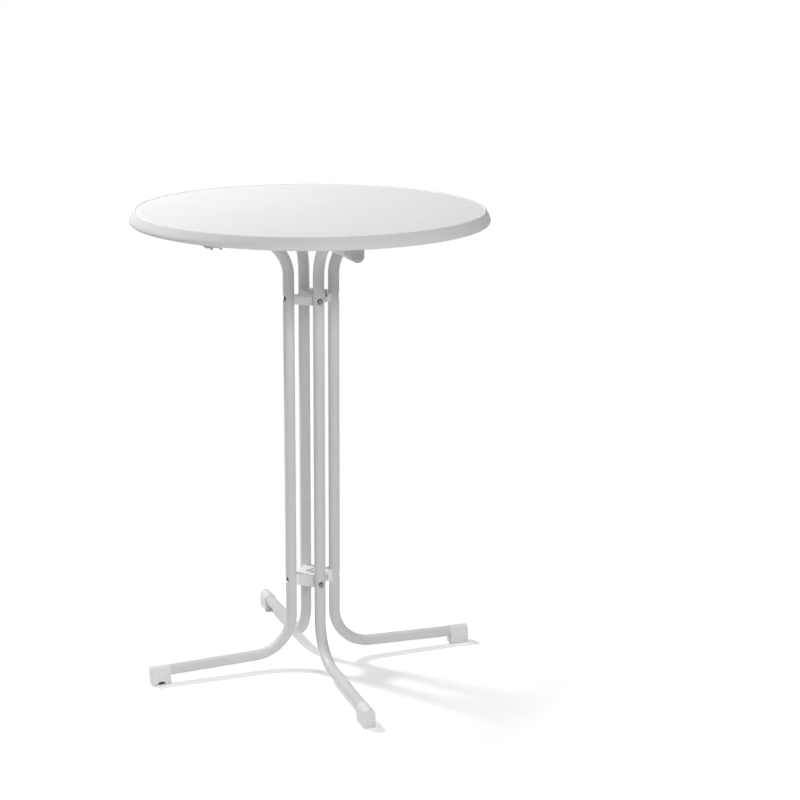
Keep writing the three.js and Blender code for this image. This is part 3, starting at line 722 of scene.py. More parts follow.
def make_top():
    rim = [(TOP_R - across, TOP_Z - down) for across, down in RIM]
    below = [(MIDDLE_R, UNDER_Z), (rim[0][0], UNDER_Z)]
    shell = lathe(below + rim[::-1] + [(MIDDLE_R, TOP_Z - SURFACE_DROP)], RIM_SIDES)
    hollows = Body([], [])
    for share, count in DIMPLE_RINGS:
        for a in around(count):
            x = TOP_R * share * math.cos(a)
            y = TOP_R * share * math.sin(a)
            if clear_of_fittings(x, y):
                hollows = hollows.joined(lathe(DIMPLE, HOLE_SIDES).at(x, y, UNDER_Z))
    piece("table_top", Solid(shell).cut(hollows).body(), "tabletop", sharp=TOP_SHARP)


# Bent tubes
def upright_heights():
    """Heights along an upright, close together round the seats of the bolts."""
    heights = set()
    for level in LEVELS.values():
        for i in range(-SEAT_BAND_STEPS, SEAT_BAND_STEPS + 1):
            heights.add(round(level + SEAT_BAND_STEP * i, 2))
    for i in range(1, UPRIGHT_STEPS):
        heights.add(LOW_BEND + (HIGH_BEND - LOW_BEND) * i / UPRIGHT_STEPS)
    return sorted(heights)


def tube_path(leg_end, arm_end):
    """Stations as (reach, height, tangent), from the leg's end to the arm's end."""
    stations = []
    for i in range(RUN_STEPS):
        reach = leg_end + (RUN_START - leg_end) * i / RUN_STEPS
        stations.append((reach, leg_height(reach), (-math.cos(SLOPE), math.sin(SLOPE))))
    low, high = [], []
    for a in arc(0, math.pi / 2 - SLOPE, BEND_STEPS):
        reach = BEND_MID - BEND_R * math.cos(a)
        rise = BEND_R * math.sin(a)
        low.append((reach, LOW_BEND - rise, (-math.sin(a), math.cos(a))))
        high.append((reach, HIGH_BEND + rise, (math.sin(a), math.cos(a))))
    stations += low[::-1]
    stations += [(RING_R, z, (0.0, 1.0)) for z in upright_heights()]
    stations += high
    for i in range(1, RUN_STEPS + 1):
        reach = RUN_START + (arm_end - RUN_START) * i / RUN_STEPS
        stations.append((reach, arm_height(reach), (math.cos(SLOPE), math.sin(SLOPE))))
    return stations


def smooth(t):
    t = max(0.0, min(1.0, t))
    return t * t * (3 - 2 * t)


def pressed(out, distance):
    """How far out a point of the tube's wall stays, at a distance from a bolt's axis."""
    if out < SEAT_FACE:
        return out
    return SEAT_FACE + (out - SEAT_FACE) * smooth((distance - SEAT_R) / SEAT_SLOPE)


def tube_body(arm_end):
    rings = []
    for reach, height, (along, up) in tube_path(FOOT_END - CAP_WALL, arm_end):
        ring = []
        for a in around(ROUND_SIDES):
            out = TUBE_R * math.cos(a)
            y = TUBE_R * math.sin(a)
            for level in LEVELS.values():
                out = pressed(out, math.hypot(y, height - level))
            ring.append((reach + out * up, y, height - out * along))
        rings.append(ring)
    return loft(rings)


# Caps of D section
def d_outline(inset, base):
    """Outline across Y and Z of the cap, the arch above and the flat below."""
    half = CAP_W / 2 - inset
    low = base + CAP_CORNER
    flat = half - CAP_CORNER
    points = [(half * math.cos(a), CAP_ARCH + half * math.sin(a)) for a in arc(0, math.pi, CAP_ARC_STEPS)]
    points += between((-half, CAP_ARCH), (-half, low), CAP_SIDE_STEPS)
    points += [(-flat - CAP_CORNER * math.cos(a), low - CAP_CORNER * math.sin(a))
               for a in arc(0, math.pi / 2, CAP_SIDE_STEPS)]
    points += between((-flat, base), (flat, base), CAP_FLAT_STEPS)
    points += [(flat + CAP_CORNER * math.cos(a), low - CAP_CORNER * math.sin(a))
               for a in arc(math.pi / 2, 0, CAP_SIDE_STEPS)]
    points += between((half, low), (half, CAP_ARCH), CAP_SIDE_STEPS)
    return points


def cap_section(x, inset, base=0.0):
    return [(x, y, z) for y, z in d_outline(inset, base)]


def mouth_section(x, gap, reach):
    """A ring round the tube with a point for each one of the cap's outline."""
    middle = CAP_ARCH - (x - (reach - CAP_LEN / 2)) * math.tan(SLOPE)
    ring = []
    for y, z in d_outline(0, 0):
        a = math.atan2(z - CAP_ARCH, y)
        ring.append((x, (TUBE_R + gap) * math.cos(a), middle + (TUBE_R + gap) * math.sin(a)))
    return ring


def cap_body(reach):
    """Drawn towards +X with its flat on z = 0, its mouth open for the tube."""
    inner = reach - CAP_LEN
    rings = [mouth_section(inner + depth, gap, reach) for depth, gap in CAP_MOUTH]
    for a in arc(0, math.pi / 2, LIP_STEPS):
        x = inner + LIP_ROUND * (1 - math.cos(a))
        rings.append(cap_section(x, LIP_ROUND * (1 - math.sin(a))))
    rings += [cap_section(inner + run, inset) for run, inset in CAP_COLLAR]
    rings.append(cap_section(reach - CAP_END_ROUND - CAP_END_LEAD, CAP_STEP))
    for a in arc(0, math.pi / 2, CAP_END_STEPS):
        x = reach - CAP_END_ROUND * (1 - math.sin(a))
        shrink = CAP_END_ROUND * (1 - math.cos(a))
        rings.append(cap_section(x, CAP_STEP + shrink, shrink))
    return loft(rings)


# Levelling foot
def wheel_rim(grow, z):
    points = []
    for a in around(WHEEL_SIDES):
        notch = max(0.0, math.cos(a * WHEEL_TEETH + math.pi)) ** 3
        radius = WHEEL_R + grow - WHEEL_NOTCH * notch
        points.append((radius * math.cos(a), radius * math.sin(a), z))
    return points


def wheel_face(level, inwards):
    """The rings of one face from its bore to its rim, inwards being 1 or -1 along Z."""
    bore = STUD_R + REST_GAP
    inside = ((bore, REST_GAP), (bore + REST_GAP, 0), (WHEEL_FACE_R, 0))
    outside = ((-WHEEL_ROUND, 0), (-WHEEL_MID, WHEEL_MID), (0, WHEEL_ROUND))
    rings = [circle(radius, WHEEL_SIDES, level + inwards * depth) for radius, depth in inside]
    return rings + [wheel_rim(grow, level + inwards * depth) for grow, depth in outside]


def wheel_body():
    rings = wheel_face(WHEEL_LOW, 1) + wheel_face(WHEEL_HIGH, -1)[::-1]
    return loft(rings, capped=False).at(FOOT_MID, 0, 0)


def stud_ring(z, shrink=0.0):
    """A circle with two flats."""
    flat = STUD_FLAT - shrink
    return [(x, max(-flat, min(flat, y)), z) for x, y, _ in circle(STUD_R - shrink, SMALL_SIDES)]


def sole_body():
    rings = [circle(radius, SMALL_SIDES, z) for radius, z in SOLE]
    rings += [stud_ring(SOLE_TOP + REST_GAP), stud_ring(STUD_TOP - STUD_CHAMFER_DROP),
              stud_ring(STUD_TOP, STUD_CHAMFER)]
    return loft(rings).at(FOOT_MID, 0, 0)


def levelling_cap():
    window = [(-WINDOW_HALF, -OVERRUN), (-WINDOW_HALF, 0)]
    window += [(WINDOW_HALF * math.cos(a), WINDOW_SPRING + WINDOW_ARCH * math.sin(a))
               for a in arc(math.pi, 0, WINDOW_STEPS)]
    window += [(WINDOW_HALF, 0), (WINDOW_HALF, -OVERRUN)]
    cap = Solid(cap_body(FOOT_END))
    cap.cut(post(SOLE_R + SLIDE_GAP, -OVERRUN, WHEEL_LOW, SMALL_SIDES).at(FOOT_MID),
            post(WHEEL_R + SLIDE_GAP, WHEEL_LOW - REST_GAP, WHEEL_HIGH + REST_GAP, DISC_SIDES).at(FOOT_MID),
            post(STUD_R + REST_GAP, WHEEL_HIGH, STUD_TOP + REST_GAP, HOLE_SIDES).at(FOOT_MID),
            prism(window, -WINDOW_DEPTH, WINDOW_DEPTH).turned(90, "X").at(FOOT_MID, 0, 0))
    return cap.body()


# Screws and bolts
def socket_head(tip, shank_r, under, head_r, top, flats, depth, rim=HEAD_ROUND):
    """A socket head screw standing along +Z, from its tip to the top of its head."""
    outside = [(shank_r - TIP_CHAMFER, tip), (shank_r, tip + TIP_CHAMFER), (shank_r, under),
               (head_r - HEAD_EDGE, under), (head_r, under + HEAD_EDGE), (head_r, top - rim),
               (head_r - HEAD_IN_SHARE * rim, top - HEAD_DOWN_SHARE * rim), (head_r - rim, top)]
    socket = [(flats * SOCKET_LEAD_SHARE, top), (flats, top - SOCKET_LEAD), (flats, top - depth)]
    rings = [circle(radius, SCREW_SIDES, z) for radius, z in outside]
    rings += [hex_ring(across, SCREW_SIDES, z) for across, z in socket]
    bottom = top - depth - flats * SOCKET_CONE_SHARE
    return loft(rings + [circle(flats * SOCKET_FLOOR_SHARE, SCREW_SIDES, bottom)])


def socket_floor_highlight_faces(screw):
    """The faces at the bottom of such a screw's socket, its last ring and its closing face, which take a
    painted highlight.
    """
    walls = len(screw.faces) - 2
    return [*range(walls - SCREW_SIDES, walls), walls + 1]


def make_tube_bolts(side, bearing, bolt, bush):
    for level, height in LEVELS.items():
        # The socket floor of each black bolt takes zinc steel, a painted highlight in the socket.
        piece(f"socket_bolt_{side}_{level}", bolt.along_x(), f"tube_bolt_{side}_{level}", bearing, height,
              inlay=(steel_mat, socket_floor_highlight_faces(bolt)))
        piece(f"flanged_bush_{side}_{level}", bush.along_x(), f"tube_bush_{side}_{level}", bearing, height)


def bolt_body():
    head = BOLT_HEAD_END - BOLT_HEAD
    return socket_head(CLEAR_R + REST_GAP, BOLT_R, head, BOLT_HEAD_R, BOLT_HEAD_END, BOLT_SOCKET,
                       BOLT_SOCKET_DEPTH)


def bush_body():
    near = CLEAR_R + REST_GAP
    far = near + BUSH_FLANGE
    bush = lathe([(BUSH_FACE_R, near), (BUSH_FLANGE_R - BUSH_EDGE, near), (BUSH_FLANGE_R, near + BUSH_EDGE),
                  (BUSH_FLANGE_R, far - BUSH_EDGE), (BUSH_FLANGE_R - BUSH_EDGE, far), (BUSH_R, far),
                  (BUSH_R, BUSH_END - BUSH_EDGE), (BUSH_R - BUSH_EDGE, BUSH_END), (BUSH_FACE_R, BUSH_END)],
                 SCREW_SIDES)
    return Solid(bush).cut(post(BUSH_BORE, near - 2 * OVERRUN, BUSH_END + 2 * OVERRUN, SCREW_SIDES)).body()


# Connector yokes, drawn about their own middle with the arms along X
def arm_pair(inner, low, high):
    arm = prism([(inner, -ARM_HALF), (CLEAR_R, -ARM_HALF), (CUP_END, -CUP_HALF), (CUP_END, CUP_HALF),
                 (CLEAR_R, ARM_HALF), (inner, ARM_HALF)], low, high)
    return [arm, arm.turned(180)]


def stop_web(face, low, high):
    """A web beside the arm at -X that stops short of the other yoke's arm at -Y."""
    diagonal = face * math.sqrt(2)
    stop = ARM_HALF + STOP_GAP
    flare = (CUP_HALF - ARM_HALF) / (CUP_END - CLEAR_R)
    tip = (diagonal - stop + flare * CLEAR_R) / (1 + flare)
    root = TUBE_FACE - REST_GAP
    return prism([(-root, 0), (-root, root - diagonal), (tip - diagonal, -tip), (-stop, -CLEAR_R),
                  (-stop, -ARM_HALF), (-ARM_ROOT, 0)], low, high)


def bolt_ways():
    """Room for the bushes, the bolts and the tubes of a yoke."""
    ways = []
    for degrees in (0, 180):
        flange_end = CLEAR_R + BUSH_FLANGE + 2 * REST_GAP
        ways.append(bar(BUSH_FLANGE_R + REST_GAP, CLEAR_R - OVERRUN, flange_end, 0).turned(degrees))
        ways.append(bar(BUSH_R + REST_GAP, CLEAR_R, BUSH_WAY_END, 0).turned(degrees))
        ways.append(post(TUBE_R + REST_GAP, -THROUGH, THROUGH).at(RING_R).turned(degrees))
    return ways


def flank_ways(level):
    """Room for the screws in the flanks of a yoke."""
    ways = []
    height = FLANK_Z[level]
    for reach, bearing in zip(FLANK_REACHES[level], FLANK_BEARINGS.values()):
        head = bar(FLANK_HEAD_R + REST_GAP, reach - FLANK_HEAD - 2 * REST_GAP, reach + OVERRUN, height)
        shank = bar(FLANK_R + REST_GAP, reach - FLANK_LENGTH - 2 * REST_GAP, reach, height)
        ways += [head.turned(bearing), shank.turned(bearing)]
    return ways


def hub_relief(rise):
    """The underside of a hub is raised between the right and front arms."""
    outer = CLEAR_R + RELIEF_RUN
    return block(ARM_HALF, outer, -outer, -ARM_HALF, -THROUGH, rise - YOKE_HALF)


def pivot_way():
    return post(PIVOT_R + REST_GAP, -THROUGH, THROUGH, SCREW_SIDES)


def top_yoke(disc, disc_top, cup_top, bolt_top, web):
    """The yoke that bears on the bottom one through the washer round the pivot bolt."""
    yoke = Solid(disc)
    yoke.add(post(BOSS_R, PARTING - BOSS_DEPTH, disc_top - BOSS_DROP),
             *arm_pair(ARM_ROOT, PARTING, disc_top), *arm_pair(CLEAR_R, -YOKE_HALF, cup_top), web)
    seat = bolt_top - PIVOT_HEAD - 2 * REST_GAP
    yoke.cut(*bolt_ways(), pivot_way(),
             post(PIVOT_HEAD_R + REST_GAP, seat, disc_top + OVERRUN, SMALL_SIDES))
    return yoke


def bottom_yoke(hub, cup_top, web):
    yoke = Solid(hub)
    yoke.add(*arm_pair(ARM_ROOT, -YOKE_HALF, -PARTING), *arm_pair(CLEAR_R, -YOKE_HALF, cup_top), web)
    nut_top = -YOKE_HALF + NUT_HEIGHT + SLIDE_GAP
    yoke.cut(post(BOSS_R + SLIDE_GAP, -PARTING - BOSS_DEPTH, PARTING), *bolt_ways(), pivot_way(),
             prism(hexagon(NUT_FLATS + SLIDE_GAP), -YOKE_HALF - OVERRUN, nut_top))
    return yoke


def cut_web(face, top, clear):
    return Solid(stop_web(face, -YOKE_HALF, top)).cut(clear).body()


def upper_side_yoke():
    """The upper connector's bottom yoke, its web rising round the disc of the cross yoke."""
    web = cut_web(NEAR_WEB, UPPER_WEB_TOP, post(UPPER_DISC_R + SLIDE_GAP, -PARTING, THROUGH, DISC_SIDES))
    yoke = bottom_yoke(post(DISC_R, -YOKE_HALF, -PARTING, DISC_SIDES), UPPER_SIDE_CUP, web)
    return yoke.cut(hub_relief(UPPER_RISE))


def upper_cross_yoke():
    disc = Solid(post(UPPER_DISC_R, PARTING, UPPER_DISC_TOP, DISC_SIDES))
    disc.cut(block(-DISC_R, -ARM_HALF, ARM_HALF, DISC_R, -THROUGH, THROUGH))
    disc.add(post(SMALL_R, PARTING, UPPER_DISC_TOP, DISC_SIDES))
    web = cut_web(FAR_WEB, FAR_WEB_TOP, post(CLEAR_R, -THROUGH, PARTING, DISC_SIDES)).mirrored(0)
    yoke = top_yoke(disc.body().turned(-90), UPPER_DISC_TOP, UPPER_CROSS_CUP, UPPER_DISC_TOP, web)
    return Solid(yoke.body().turned(90)).cut(*flank_ways("upper"))


def lower_side_yoke():
    """The lower connector's top yoke, with a web of full height and a pocket beside the bolt."""
    web = cut_web(NEAR_WEB, YOKE_HALF, post(SMALL_R + SLIDE_GAP, -THROUGH, PARTING, DISC_SIDES))
    yoke = top_yoke(post(DISC_R, PARTING, YOKE_HALF, DISC_SIDES), YOKE_HALF, YOKE_HALF, POCKET_Z, web)
    outline = [(POCKET_R * x, POCKET_R * y) for x, y in POCKET_SHARES]
    pocket = Solid(prism(outline, POCKET_Z, YOKE_HALF + OVERRUN))
    pocket.common(post(POCKET_R, -THROUGH, THROUGH, DISC_SIDES))
    return yoke.cut(pocket.body(), *flank_ways("lower"))


def lower_cross_yoke():
    hub = Solid(post(DISC_R, -YOKE_HALF, -PARTING, DISC_SIDES))
    cut = block(HUB_CUT_NEAR, HUB_CUT_FAR, -HUB_CUT_HALF, HUB_CUT_HALF, -THROUGH, THROUGH)
    hub.cut(cut.turned(HUB_CUT_BEARING)).add(post(SMALL_R, -YOKE_HALF, -PARTING, DISC_SIDES))
    web = cut_web(FAR_WEB, FAR_WEB_TOP, post(CLEAR_R, -PARTING, THROUGH, DISC_SIDES)).mirrored(0)
    yoke = bottom_yoke(hub.body().turned(-90), YOKE_HALF, web)
    return Solid(yoke.body().turned(90)).cut(hub_relief(LOWER_RISE))


def make_yokes():
    for level, kind, build in (("upper", "side", upper_side_yoke), ("upper", "cross", upper_cross_yoke),
                               ("lower", "side", lower_side_yoke), ("lower", "cross", lower_cross_yoke)):
        node = f"{level}_{kind}_yoke"
        piece(f"{node}_moulding", build().body(), node, height=LEVELS[level], mat=hub_mat, bevel=0.6)


def pivot_nut_body():
    low = REST_GAP - YOKE_HALF
    high = low + NUT_HEIGHT
    barrel = lathe([(NUT_END_R, low), (NUT_LOW_R, low + NUT_CHAMFER), (NUT_HIGH_R, high - NUT_CHAMFER),
                    (NUT_END_R, high)], ROUND_SIDES)
    return Solid(prism(hexagon(NUT_FLATS), low, high)).common(barrel).cut(pivot_way()).body()


def washer_body():
    middle = -BOSS_DEPTH
    low, high = middle - WASHER_HALF, middle + WASHER_HALF
    ring = lathe([(WASHER_R - WASHER_ROUND, low), (WASHER_R, low + WASHER_EDGE),
                  (WASHER_R, high - WASHER_EDGE), (WASHER_R - WASHER_ROUND, high)], ROUND_SIDES)
    return Solid(ring).cut(post(WASHER_BORE, -THROUGH, THROUGH, SCREW_SIDES)).body()


def make_hub_fittings():
    for level, bolt_top in (("upper", UPPER_DISC_TOP), ("lower", POCKET_Z)):
        height = LEVELS[level]
        head_top = bolt_top - REST_GAP
        pivot = socket_head(SLIDE_GAP - YOKE_HALF, PIVOT_R, head_top - PIVOT_HEAD, PIVOT_HEAD_R, head_top,
                            PIVOT_SOCKET, PIVOT_SOCKET_DEPTH)
        piece(f"{level}_pivot_socket_bolt", pivot, f"{level}_pivot_bolt", height=height)
        piece(f"{level}_pivot_hex_nut", pivot_nut_body(), f"{level}_pivot_nut", NUT_BEARINGS[level], height)
        piece(f"{level}_hub_fibre_washer", washer_body(), f"{level}_hub_washer", height=height)
        for reach, (facing, bearing) in zip(FLANK_REACHES[level], FLANK_BEARINGS.items()):
            top = reach - REST_GAP
            screw = socket_head(reach - FLANK_LENGTH, FLANK_R, top - FLANK_HEAD, FLANK_HEAD_R, top,
                                FLANK_SOCKET, FLANK_SOCKET_DEPTH, FLANK_HEAD_ROUND)
            screw = screw.along_x(0, FLANK_Z[level])
            piece(f"{level}_flank_screw_{facing}", screw, f"{level}_hub_screw_{facing}", bearing, height)


# Saddle brackets and straps, drawn towards +X with the hinge at -Y and the snaps at +Y
def rounded_plate(x0, x1, y0, y1, radius, z0, z1):
    outline = []
    for x, y, start in ((x1 - radius, y1 - radius, 0), (x0 + radius, y1 - radius, 90),
                        (x0 + radius, y0 + radius, 180), (x1 - radius, y0 + radius, 270)):
        for degrees in range(start, start + 91, 15):
            a = math.radians(degrees)
            outline.append((x + radius * math.cos(a), y + radius * math.sin(a)))
    return prism(outline, z0, z1)


def arm_way():
    """Room for the upper run of a tube along the saddle and past it."""
    length = FAR - NEAR
    way = post(TUBE_R + SLIDE_GAP, -length, length)
    return way.turned(90 - math.degrees(SLOPE), "Y").at(SADDLE_MID, 0, arm_height(SADDLE_MID))


def pin_bar(radius, near, far):
    return bar(radius, near, far, PIN_Z).at(0, -PIN_OFFSET, 0)


def flange_screw_places():
    return [(x, y) for x in (NEAR + SCREW_INSET, FAR - SCREW_INSET) for y in (-SCREW_OFFSET, SCREW_OFFSET)]


def snap_nose(reach):
    top = SNAP_Z - REST_GAP
    side = SADDLE_HALF - REST_GAP
    outline = [(side - LAP, top - NOSE[0][1])]
    outline += [(side + out, top - down) for out, down in NOSE]
    outline.append((side - LAP, top))
    return prism(outline, 0, NOSE_WIDTH).turned(90, "X").turned(90).at(reach - NOSE_WIDTH / 2)


def bracket_body():
    half = TUBE_R + SLIDE_GAP
    bracket = Solid(rounded_plate(NEAR, FAR, -FLANGE_HALF, FLANGE_HALF, FLANGE_CORNER,
                                  PAD_LEVEL - FLANGE, PAD_LEVEL))
    bracket.add(block(NEAR, FAR, -SADDLE_HALF, SADDLE_HALF, CHEEK_Z, PAD_LEVEL - LAP),
                pin_bar(KNUCKLE_R, NEAR, FAR),
                block(NEAR, FAR, -KNUCKLE_OUTER, -KNUCKLE_INNER, PIN_Z, CHEEK_Z + KNUCKLE_R))
    bracket.cut(arm_way(),
                block(NEAR - OVERRUN, FAR + OVERRUN, -half, half, STRAP_Z - LAP, arm_height(SADDLE_MID)),
                block(NEAR + KNUCKLE, FAR - KNUCKLE, -KNUCKLE_WAY_OUTER, -KNUCKLE_WAY_INNER,
                      STRAP_Z - OVERRUN, PIN_Z + KNUCKLE_R + SLIDE_GAP),
                pin_bar(PIN_R + REST_GAP, NEAR - OVERRUN, FAR + OVERRUN))
    bracket.add(*[snap_nose(reach) for reach in SNAPS])
    hole = post(SCREW_HOLE_R, PAD_LEVEL - SCREW_HOLE_DEPTH, PAD_LEVEL + OVERRUN, HOLE_SIDES)
    bracket.cut(*[hole.at(x, y) for x, y in flange_screw_places()])
    return bracket.body()


def strap_body():
    near, far = NEAR + STRAP_INSET, FAR - STRAP_INSET
    inner_near, inner_far = NEAR + KNUCKLE + SLIDE_GAP, FAR - KNUCKLE - SLIDE_GAP
    lip_in = SADDLE_HALF + SLIDE_GAP
    lip_out = lip_in + LIP
    plate_top = STRAP_Z + STRAP
    strap = Solid(block(near, far, -STRAP_EDGE, lip_out - LAP, STRAP_Z, plate_top))
    strap.add(block(near, far, lip_in, lip_out, STRAP_Z, LIP_TOP),
              block(near, far, -RIB_HALF, RIB_HALF,
                    STRAP_Z + RIB_LIFT, arm_height(near) - TUBE_R + SLIDE_GAP),
              block(inner_near, inner_far, -PIN_OFFSET, -RIB_HALF, STRAP_Z, plate_top),
              pin_bar(KNUCKLE_R, inner_near, inner_far))
    strap.cut(arm_way(), pin_bar(PIN_R + REST_GAP, NEAR, FAR))
    for reach in SNAPS:
        tab = reach + SNAP_HALF + SLIDE_GAP
        strap.cut(block(reach - SNAP_HALF, reach + SNAP_HALF, lip_in - OVERRUN, lip_out + OVERRUN,
                        STRAP_Z - OVERRUN, SNAP_Z))
        strap.add(block(tab, tab + TAB_WIDTH, lip_in, lip_out, STRAP_Z - TAB_DROP, plate_top - LAP))
    return strap.body()


def plug_body():
    plug = lathe(PLUG, ROUND_SIDES).at(0, 0, -PLUG[-1][1])
    return plug.turned(90 - math.degrees(SLOPE), "Y").at(PLUG_END, 0, arm_height(PLUG_END))


def pin_body():
    length = FAR - NEAR - 2 * REST_GAP
    profile = [(PIN_R - PIN_CHAMFER, 0), (PIN_R, PIN_CHAMFER), (PIN_R, length - PIN_CHAMFER),
               (PIN_R - PIN_CHAMFER, length)]
    return lathe(profile, SCREW_SIDES).along_x(NEAR + REST_GAP, PIN_Z).at(0, -PIN_OFFSET, 0)


def board_screw_body():
    under = PAD_LEVEL - FLANGE - REST_GAP
    screw = Solid(lathe([(radius, under + z) for radius, z in BOARD_SCREW], SCREW_SIDES))
    slot = block(-CROSS_SLOT_HALF, CROSS_SLOT_HALF, -CROSS_SLOT_HALF_WIDTH, CROSS_SLOT_HALF_WIDTH,
                 under - OVERRUN, under - CROSS_SLOT_DEPTH)
    return screw.cut(slot.turned(0), slot.turned(90)).body()


def make_saddles():
    bracket = bracket_body()
    strap = strap_body()
    plug = plug_body()
    pin = pin_body()
    screw = board_screw_body()
    for side in ("left", "right"):
        bearing = BEARINGS[side]
        piece(f"saddle_bracket_moulding_{side}", bracket, f"saddle_bracket_{side}", bearing, bevel=0.7)
        piece(f"saddle_strap_moulding_{side}", strap, f"saddle_strap_{side}", bearing, bevel=0.5)
        piece(f"arm_end_plug_{side}", plug, f"arm_plug_{side}", bearing, sharp=CAP_SHARP)
        piece(f"strap_hinge_pin_{side}", pin, f"strap_pin_{side}", bearing)
        for i, (x, y) in enumerate(flange_screw_places(), 1):
            piece(f"pan_screw_{side}_{i}", screw.at(x, y), f"board_screw_{side}_{i}", bearing)


# Frames: tubes with their caps and bolts
def make_frames():
    long_tube = tube_body(PAD_END - CAP_WALL)
    short_tube = tube_body(PLUG_END - PLUG_WALL)
    foot = cap_body(FOOT_END)
    pad = cap_body(PAD_END).mirrored(2).at(0, 0, PAD_LEVEL)
    bolt = bolt_body()
    bush = bush_body()
    for side, bearing in BEARINGS.items():
        crosses = side in ("front", "back")
        piece(f"frame_tube_{side}", long_tube if crosses else short_tube, f"tube_{side}", bearing)
        if side != "left":
            piece(f"foot_shoe_{side}", foot, f"foot_cap_{side}", bearing, mat=foot_mat, sharp=CAP_SHARP)
        # The pads take the darker material that carries painted shade.
        if crosses:
            piece(f"arm_shoe_{side}", pad, f"arm_pad_{side}", bearing, mat=pad_painted_shade_mat, sharp=CAP_SHARP)
        make_tube_bolts(side, bearing, bolt, bush)


def make_levelling_foot():
    bearing = BEARINGS["left"]
    piece("foot_shoe_left", levelling_cap(), "foot_cap_left", bearing, mat=foot_mat, sharp=CAP_SHARP)
    # The wheel's red carries painted shade for its recess.
    piece("thumb_wheel_moulding", wheel_body(), "leveller_wheel", bearing, sharp=CAP_SHARP)
    piece("sole_disc", sole_body(), "leveller_foot", bearing, sharp=CAP_SHARP)


make_top()
make_frames()
make_levelling_foot()
make_yokes()
make_hub_fittings()
make_saddles()

# Camera, fitted to the photograph: its place in metres, its focal length in pixels of the frame
FRAME_PX = 800
FOCAL_PX = 1805.0
SENSOR_MM = 36.0
CAMERA_FAR = 500.0
CAMERA_PLACE = (-1.2565, -3.8550, 1.7145)
CAMERA_YAW = math.radians(20.945)
CAMERA_PITCH = math.radians(-14.685)
CAMERA_ROLL = math.radians(0.40)


def make_camera():
    data = bpy.data.cameras.new("camera")
    data.sensor_fit = "HORIZONTAL"
    data.sensor_width = SENSOR_MM
    data.lens = FOCAL_PX / FRAME_PX * SENSOR_MM
    data.clip_end = CAMERA_FAR
    camera = bpy.data.objects.new("camera", data)
    bpy.context.collection.objects.link(camera)
    ahead = Vector((math.sin(CAMERA_YAW), math.cos(CAMERA_YAW), math.tan(CAMERA_PITCH))).normalized()
    level_right = ahead.cross(Vector((0, 0, 1))).normalized()
    level_up = level_right.cross(ahead)
    right = level_right * math.cos(CAMERA_ROLL) + level_up * math.sin(CAMERA_ROLL)
    up = -level_right * math.sin(CAMERA_ROLL) + level_up * math.cos(CAMERA_ROLL)
    turn = Matrix((right, up, -ahead)).transposed().to_4x4()
    camera.matrix_world = Matrix.Translation(CAMERA_PLACE) @ turn
    bpy.context.scene.camera = camera


# Studio: a white floor that fades to plain white away from the table, a white world and lamps,
# in metres and watts. The floor lies just below the caps, so that the two never share a plane.
FLOOR_TONE = 0.93
FLOOR_LIFT = 0.38
FLOOR_Z = -0.0003
FLOOR_HALF = 60.0
FADE_NEAR = 0.44
FADE_FAR = 0.62
WORLD_LIGHT = 0.06


def plain_rays(tree):
    """1 for rays that should see the white studio itself: camera, mirror and glass rays."""
    path = tree.nodes.new("ShaderNodeLightPath")
    total = path.outputs["Is Camera Ray"]
    for name in ("Is Glossy Ray", "Is Transmission Ray"):
        total = combine(tree, "MAXIMUM", total, path.outputs[name])
    return total


def mix_shaders(tree, fac, a, b):
    node = tree.nodes.new("ShaderNodeMixShader")
    link(tree, fac, node.inputs[0])
    link(tree, a, node.inputs[1])
    link(tree, b, node.inputs[2])
    return node.outputs[0]


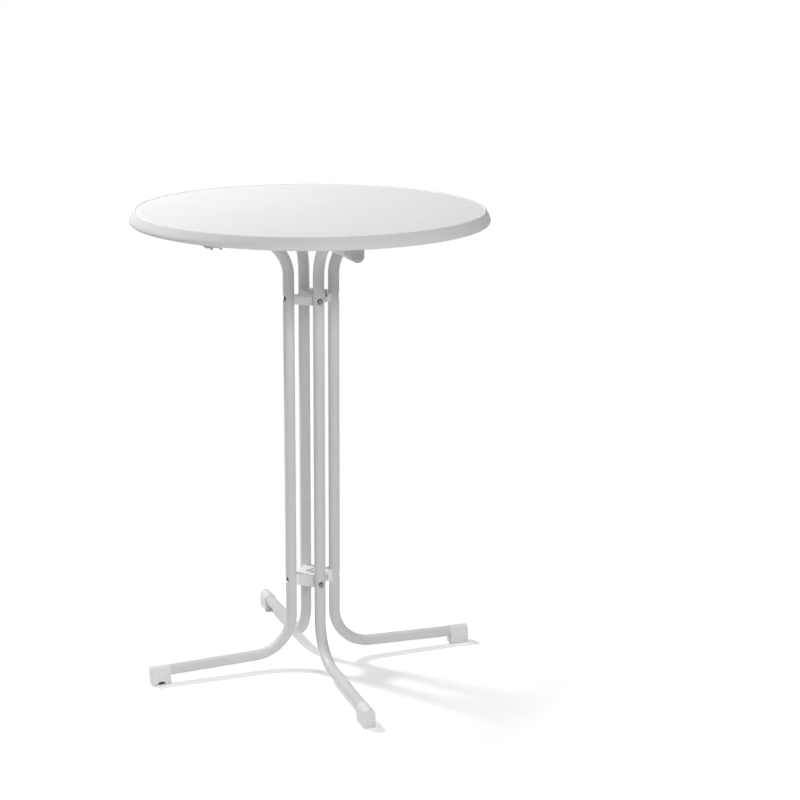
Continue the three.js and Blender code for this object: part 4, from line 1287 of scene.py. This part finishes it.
def floor_material():
    """White floor lit by the lamps, lifted for plain rays, and plain white past the fade."""
    mat = bpy.data.materials.new("studio_floor")
    tree = empty_tree(mat)
    out = tree.nodes.new("ShaderNodeOutputMaterial")
    diffuse = tree.nodes.new("ShaderNodeBsdfDiffuse")
    diffuse.inputs["Color"].default_value = (FLOOR_TONE, FLOOR_TONE, FLOOR_TONE, 1)
    plain = plain_rays(tree)
    lift = tree.nodes.new("ShaderNodeEmission")
    link(tree, combine(tree, "MULTIPLY", plain, FLOOR_LIFT), lift.inputs["Strength"])
    lifted = tree.nodes.new("ShaderNodeAddShader")
    link(tree, diffuse.outputs[0], lifted.inputs[0])
    link(tree, lift.outputs[0], lifted.inputs[1])
    distance = tree.nodes.new("ShaderNodeVectorMath")
    distance.operation = "LENGTH"
    link(tree, tree.nodes.new("ShaderNodeNewGeometry").outputs["Position"], distance.inputs[0])
    fade = spread(tree, distance.outputs["Value"], 0, 1, FADE_NEAR, FADE_FAR)
    white = tree.nodes.new("ShaderNodeEmission")
    mixed = mix_shaders(tree, combine(tree, "MULTIPLY", fade, plain), lifted.outputs[0], white.outputs[0])
    link(tree, mixed, out.inputs["Surface"])
    return mat


def make_floor():
    mesh = bpy.data.meshes.new("floor")
    corners = [(FLOOR_HALF * x, FLOOR_HALF * y, FLOOR_Z) for x, y in ((-1, -1), (1, -1), (1, 1), (-1, 1))]
    mesh.from_pydata(corners, [], [(0, 1, 2, 3)])
    mesh.materials.append(floor_material())
    floor = bpy.data.objects.new("studio_floor", mesh)
    bpy.context.collection.objects.link(floor)


def make_world():
    world = bpy.data.worlds.new("studio")
    tree = empty_tree(world)
    out = tree.nodes.new("ShaderNodeOutputWorld")
    light = tree.nodes.new("ShaderNodeBackground")
    light.inputs["Color"].default_value = (1, 1, 1, 1)
    light.inputs["Strength"].default_value = WORLD_LIGHT
    seen = tree.nodes.new("ShaderNodeBackground")
    seen.inputs["Color"].default_value = (1, 1, 1, 1)
    seen.inputs["Strength"].default_value = 1.0
    mixed = mix_shaders(tree, plain_rays(tree), light.outputs[0], seen.outputs[0])
    link(tree, mixed, out.inputs["Surface"])
    bpy.context.scene.world = world


def lamp(name, place, aim, width, depth, watts):
    data = bpy.data.lights.new(name, "AREA")
    data.shape = "RECTANGLE"
    data.size = width
    data.size_y = depth
    data.energy = watts
    obj = bpy.data.objects.new(name, data)
    bpy.context.collection.objects.link(obj)
    obj.location = place
    obj.rotation_euler = (Vector(aim) - Vector(place)).to_track_quat("-Z", "Y").to_euler()


make_camera()
make_floor()
make_world()
lamp("key", (-1.6, 1.95, 3.4), (0, 0, 0.6), 0.5, 0.5, 107.0)
lamp("front", (0.6, -7.9, 5.2), (0, 0, 0.7), 6.0, 1.8, 340.0)
lamp("overhead", (0, 0, 5.0), (0, 0, 1.0), 1.0, 1.0, 6.0)
lamp("left", (-3.0, 0.25, 4.0), (0, 0, 1.0), 0.8, 0.8, 10.0)
lamp("low", (-1.3, -4.4, 0.7), (0, 0, 0.25), 0.7, 0.5, 9.0)

bpy.context.scene.view_settings.view_transform = "Standard"
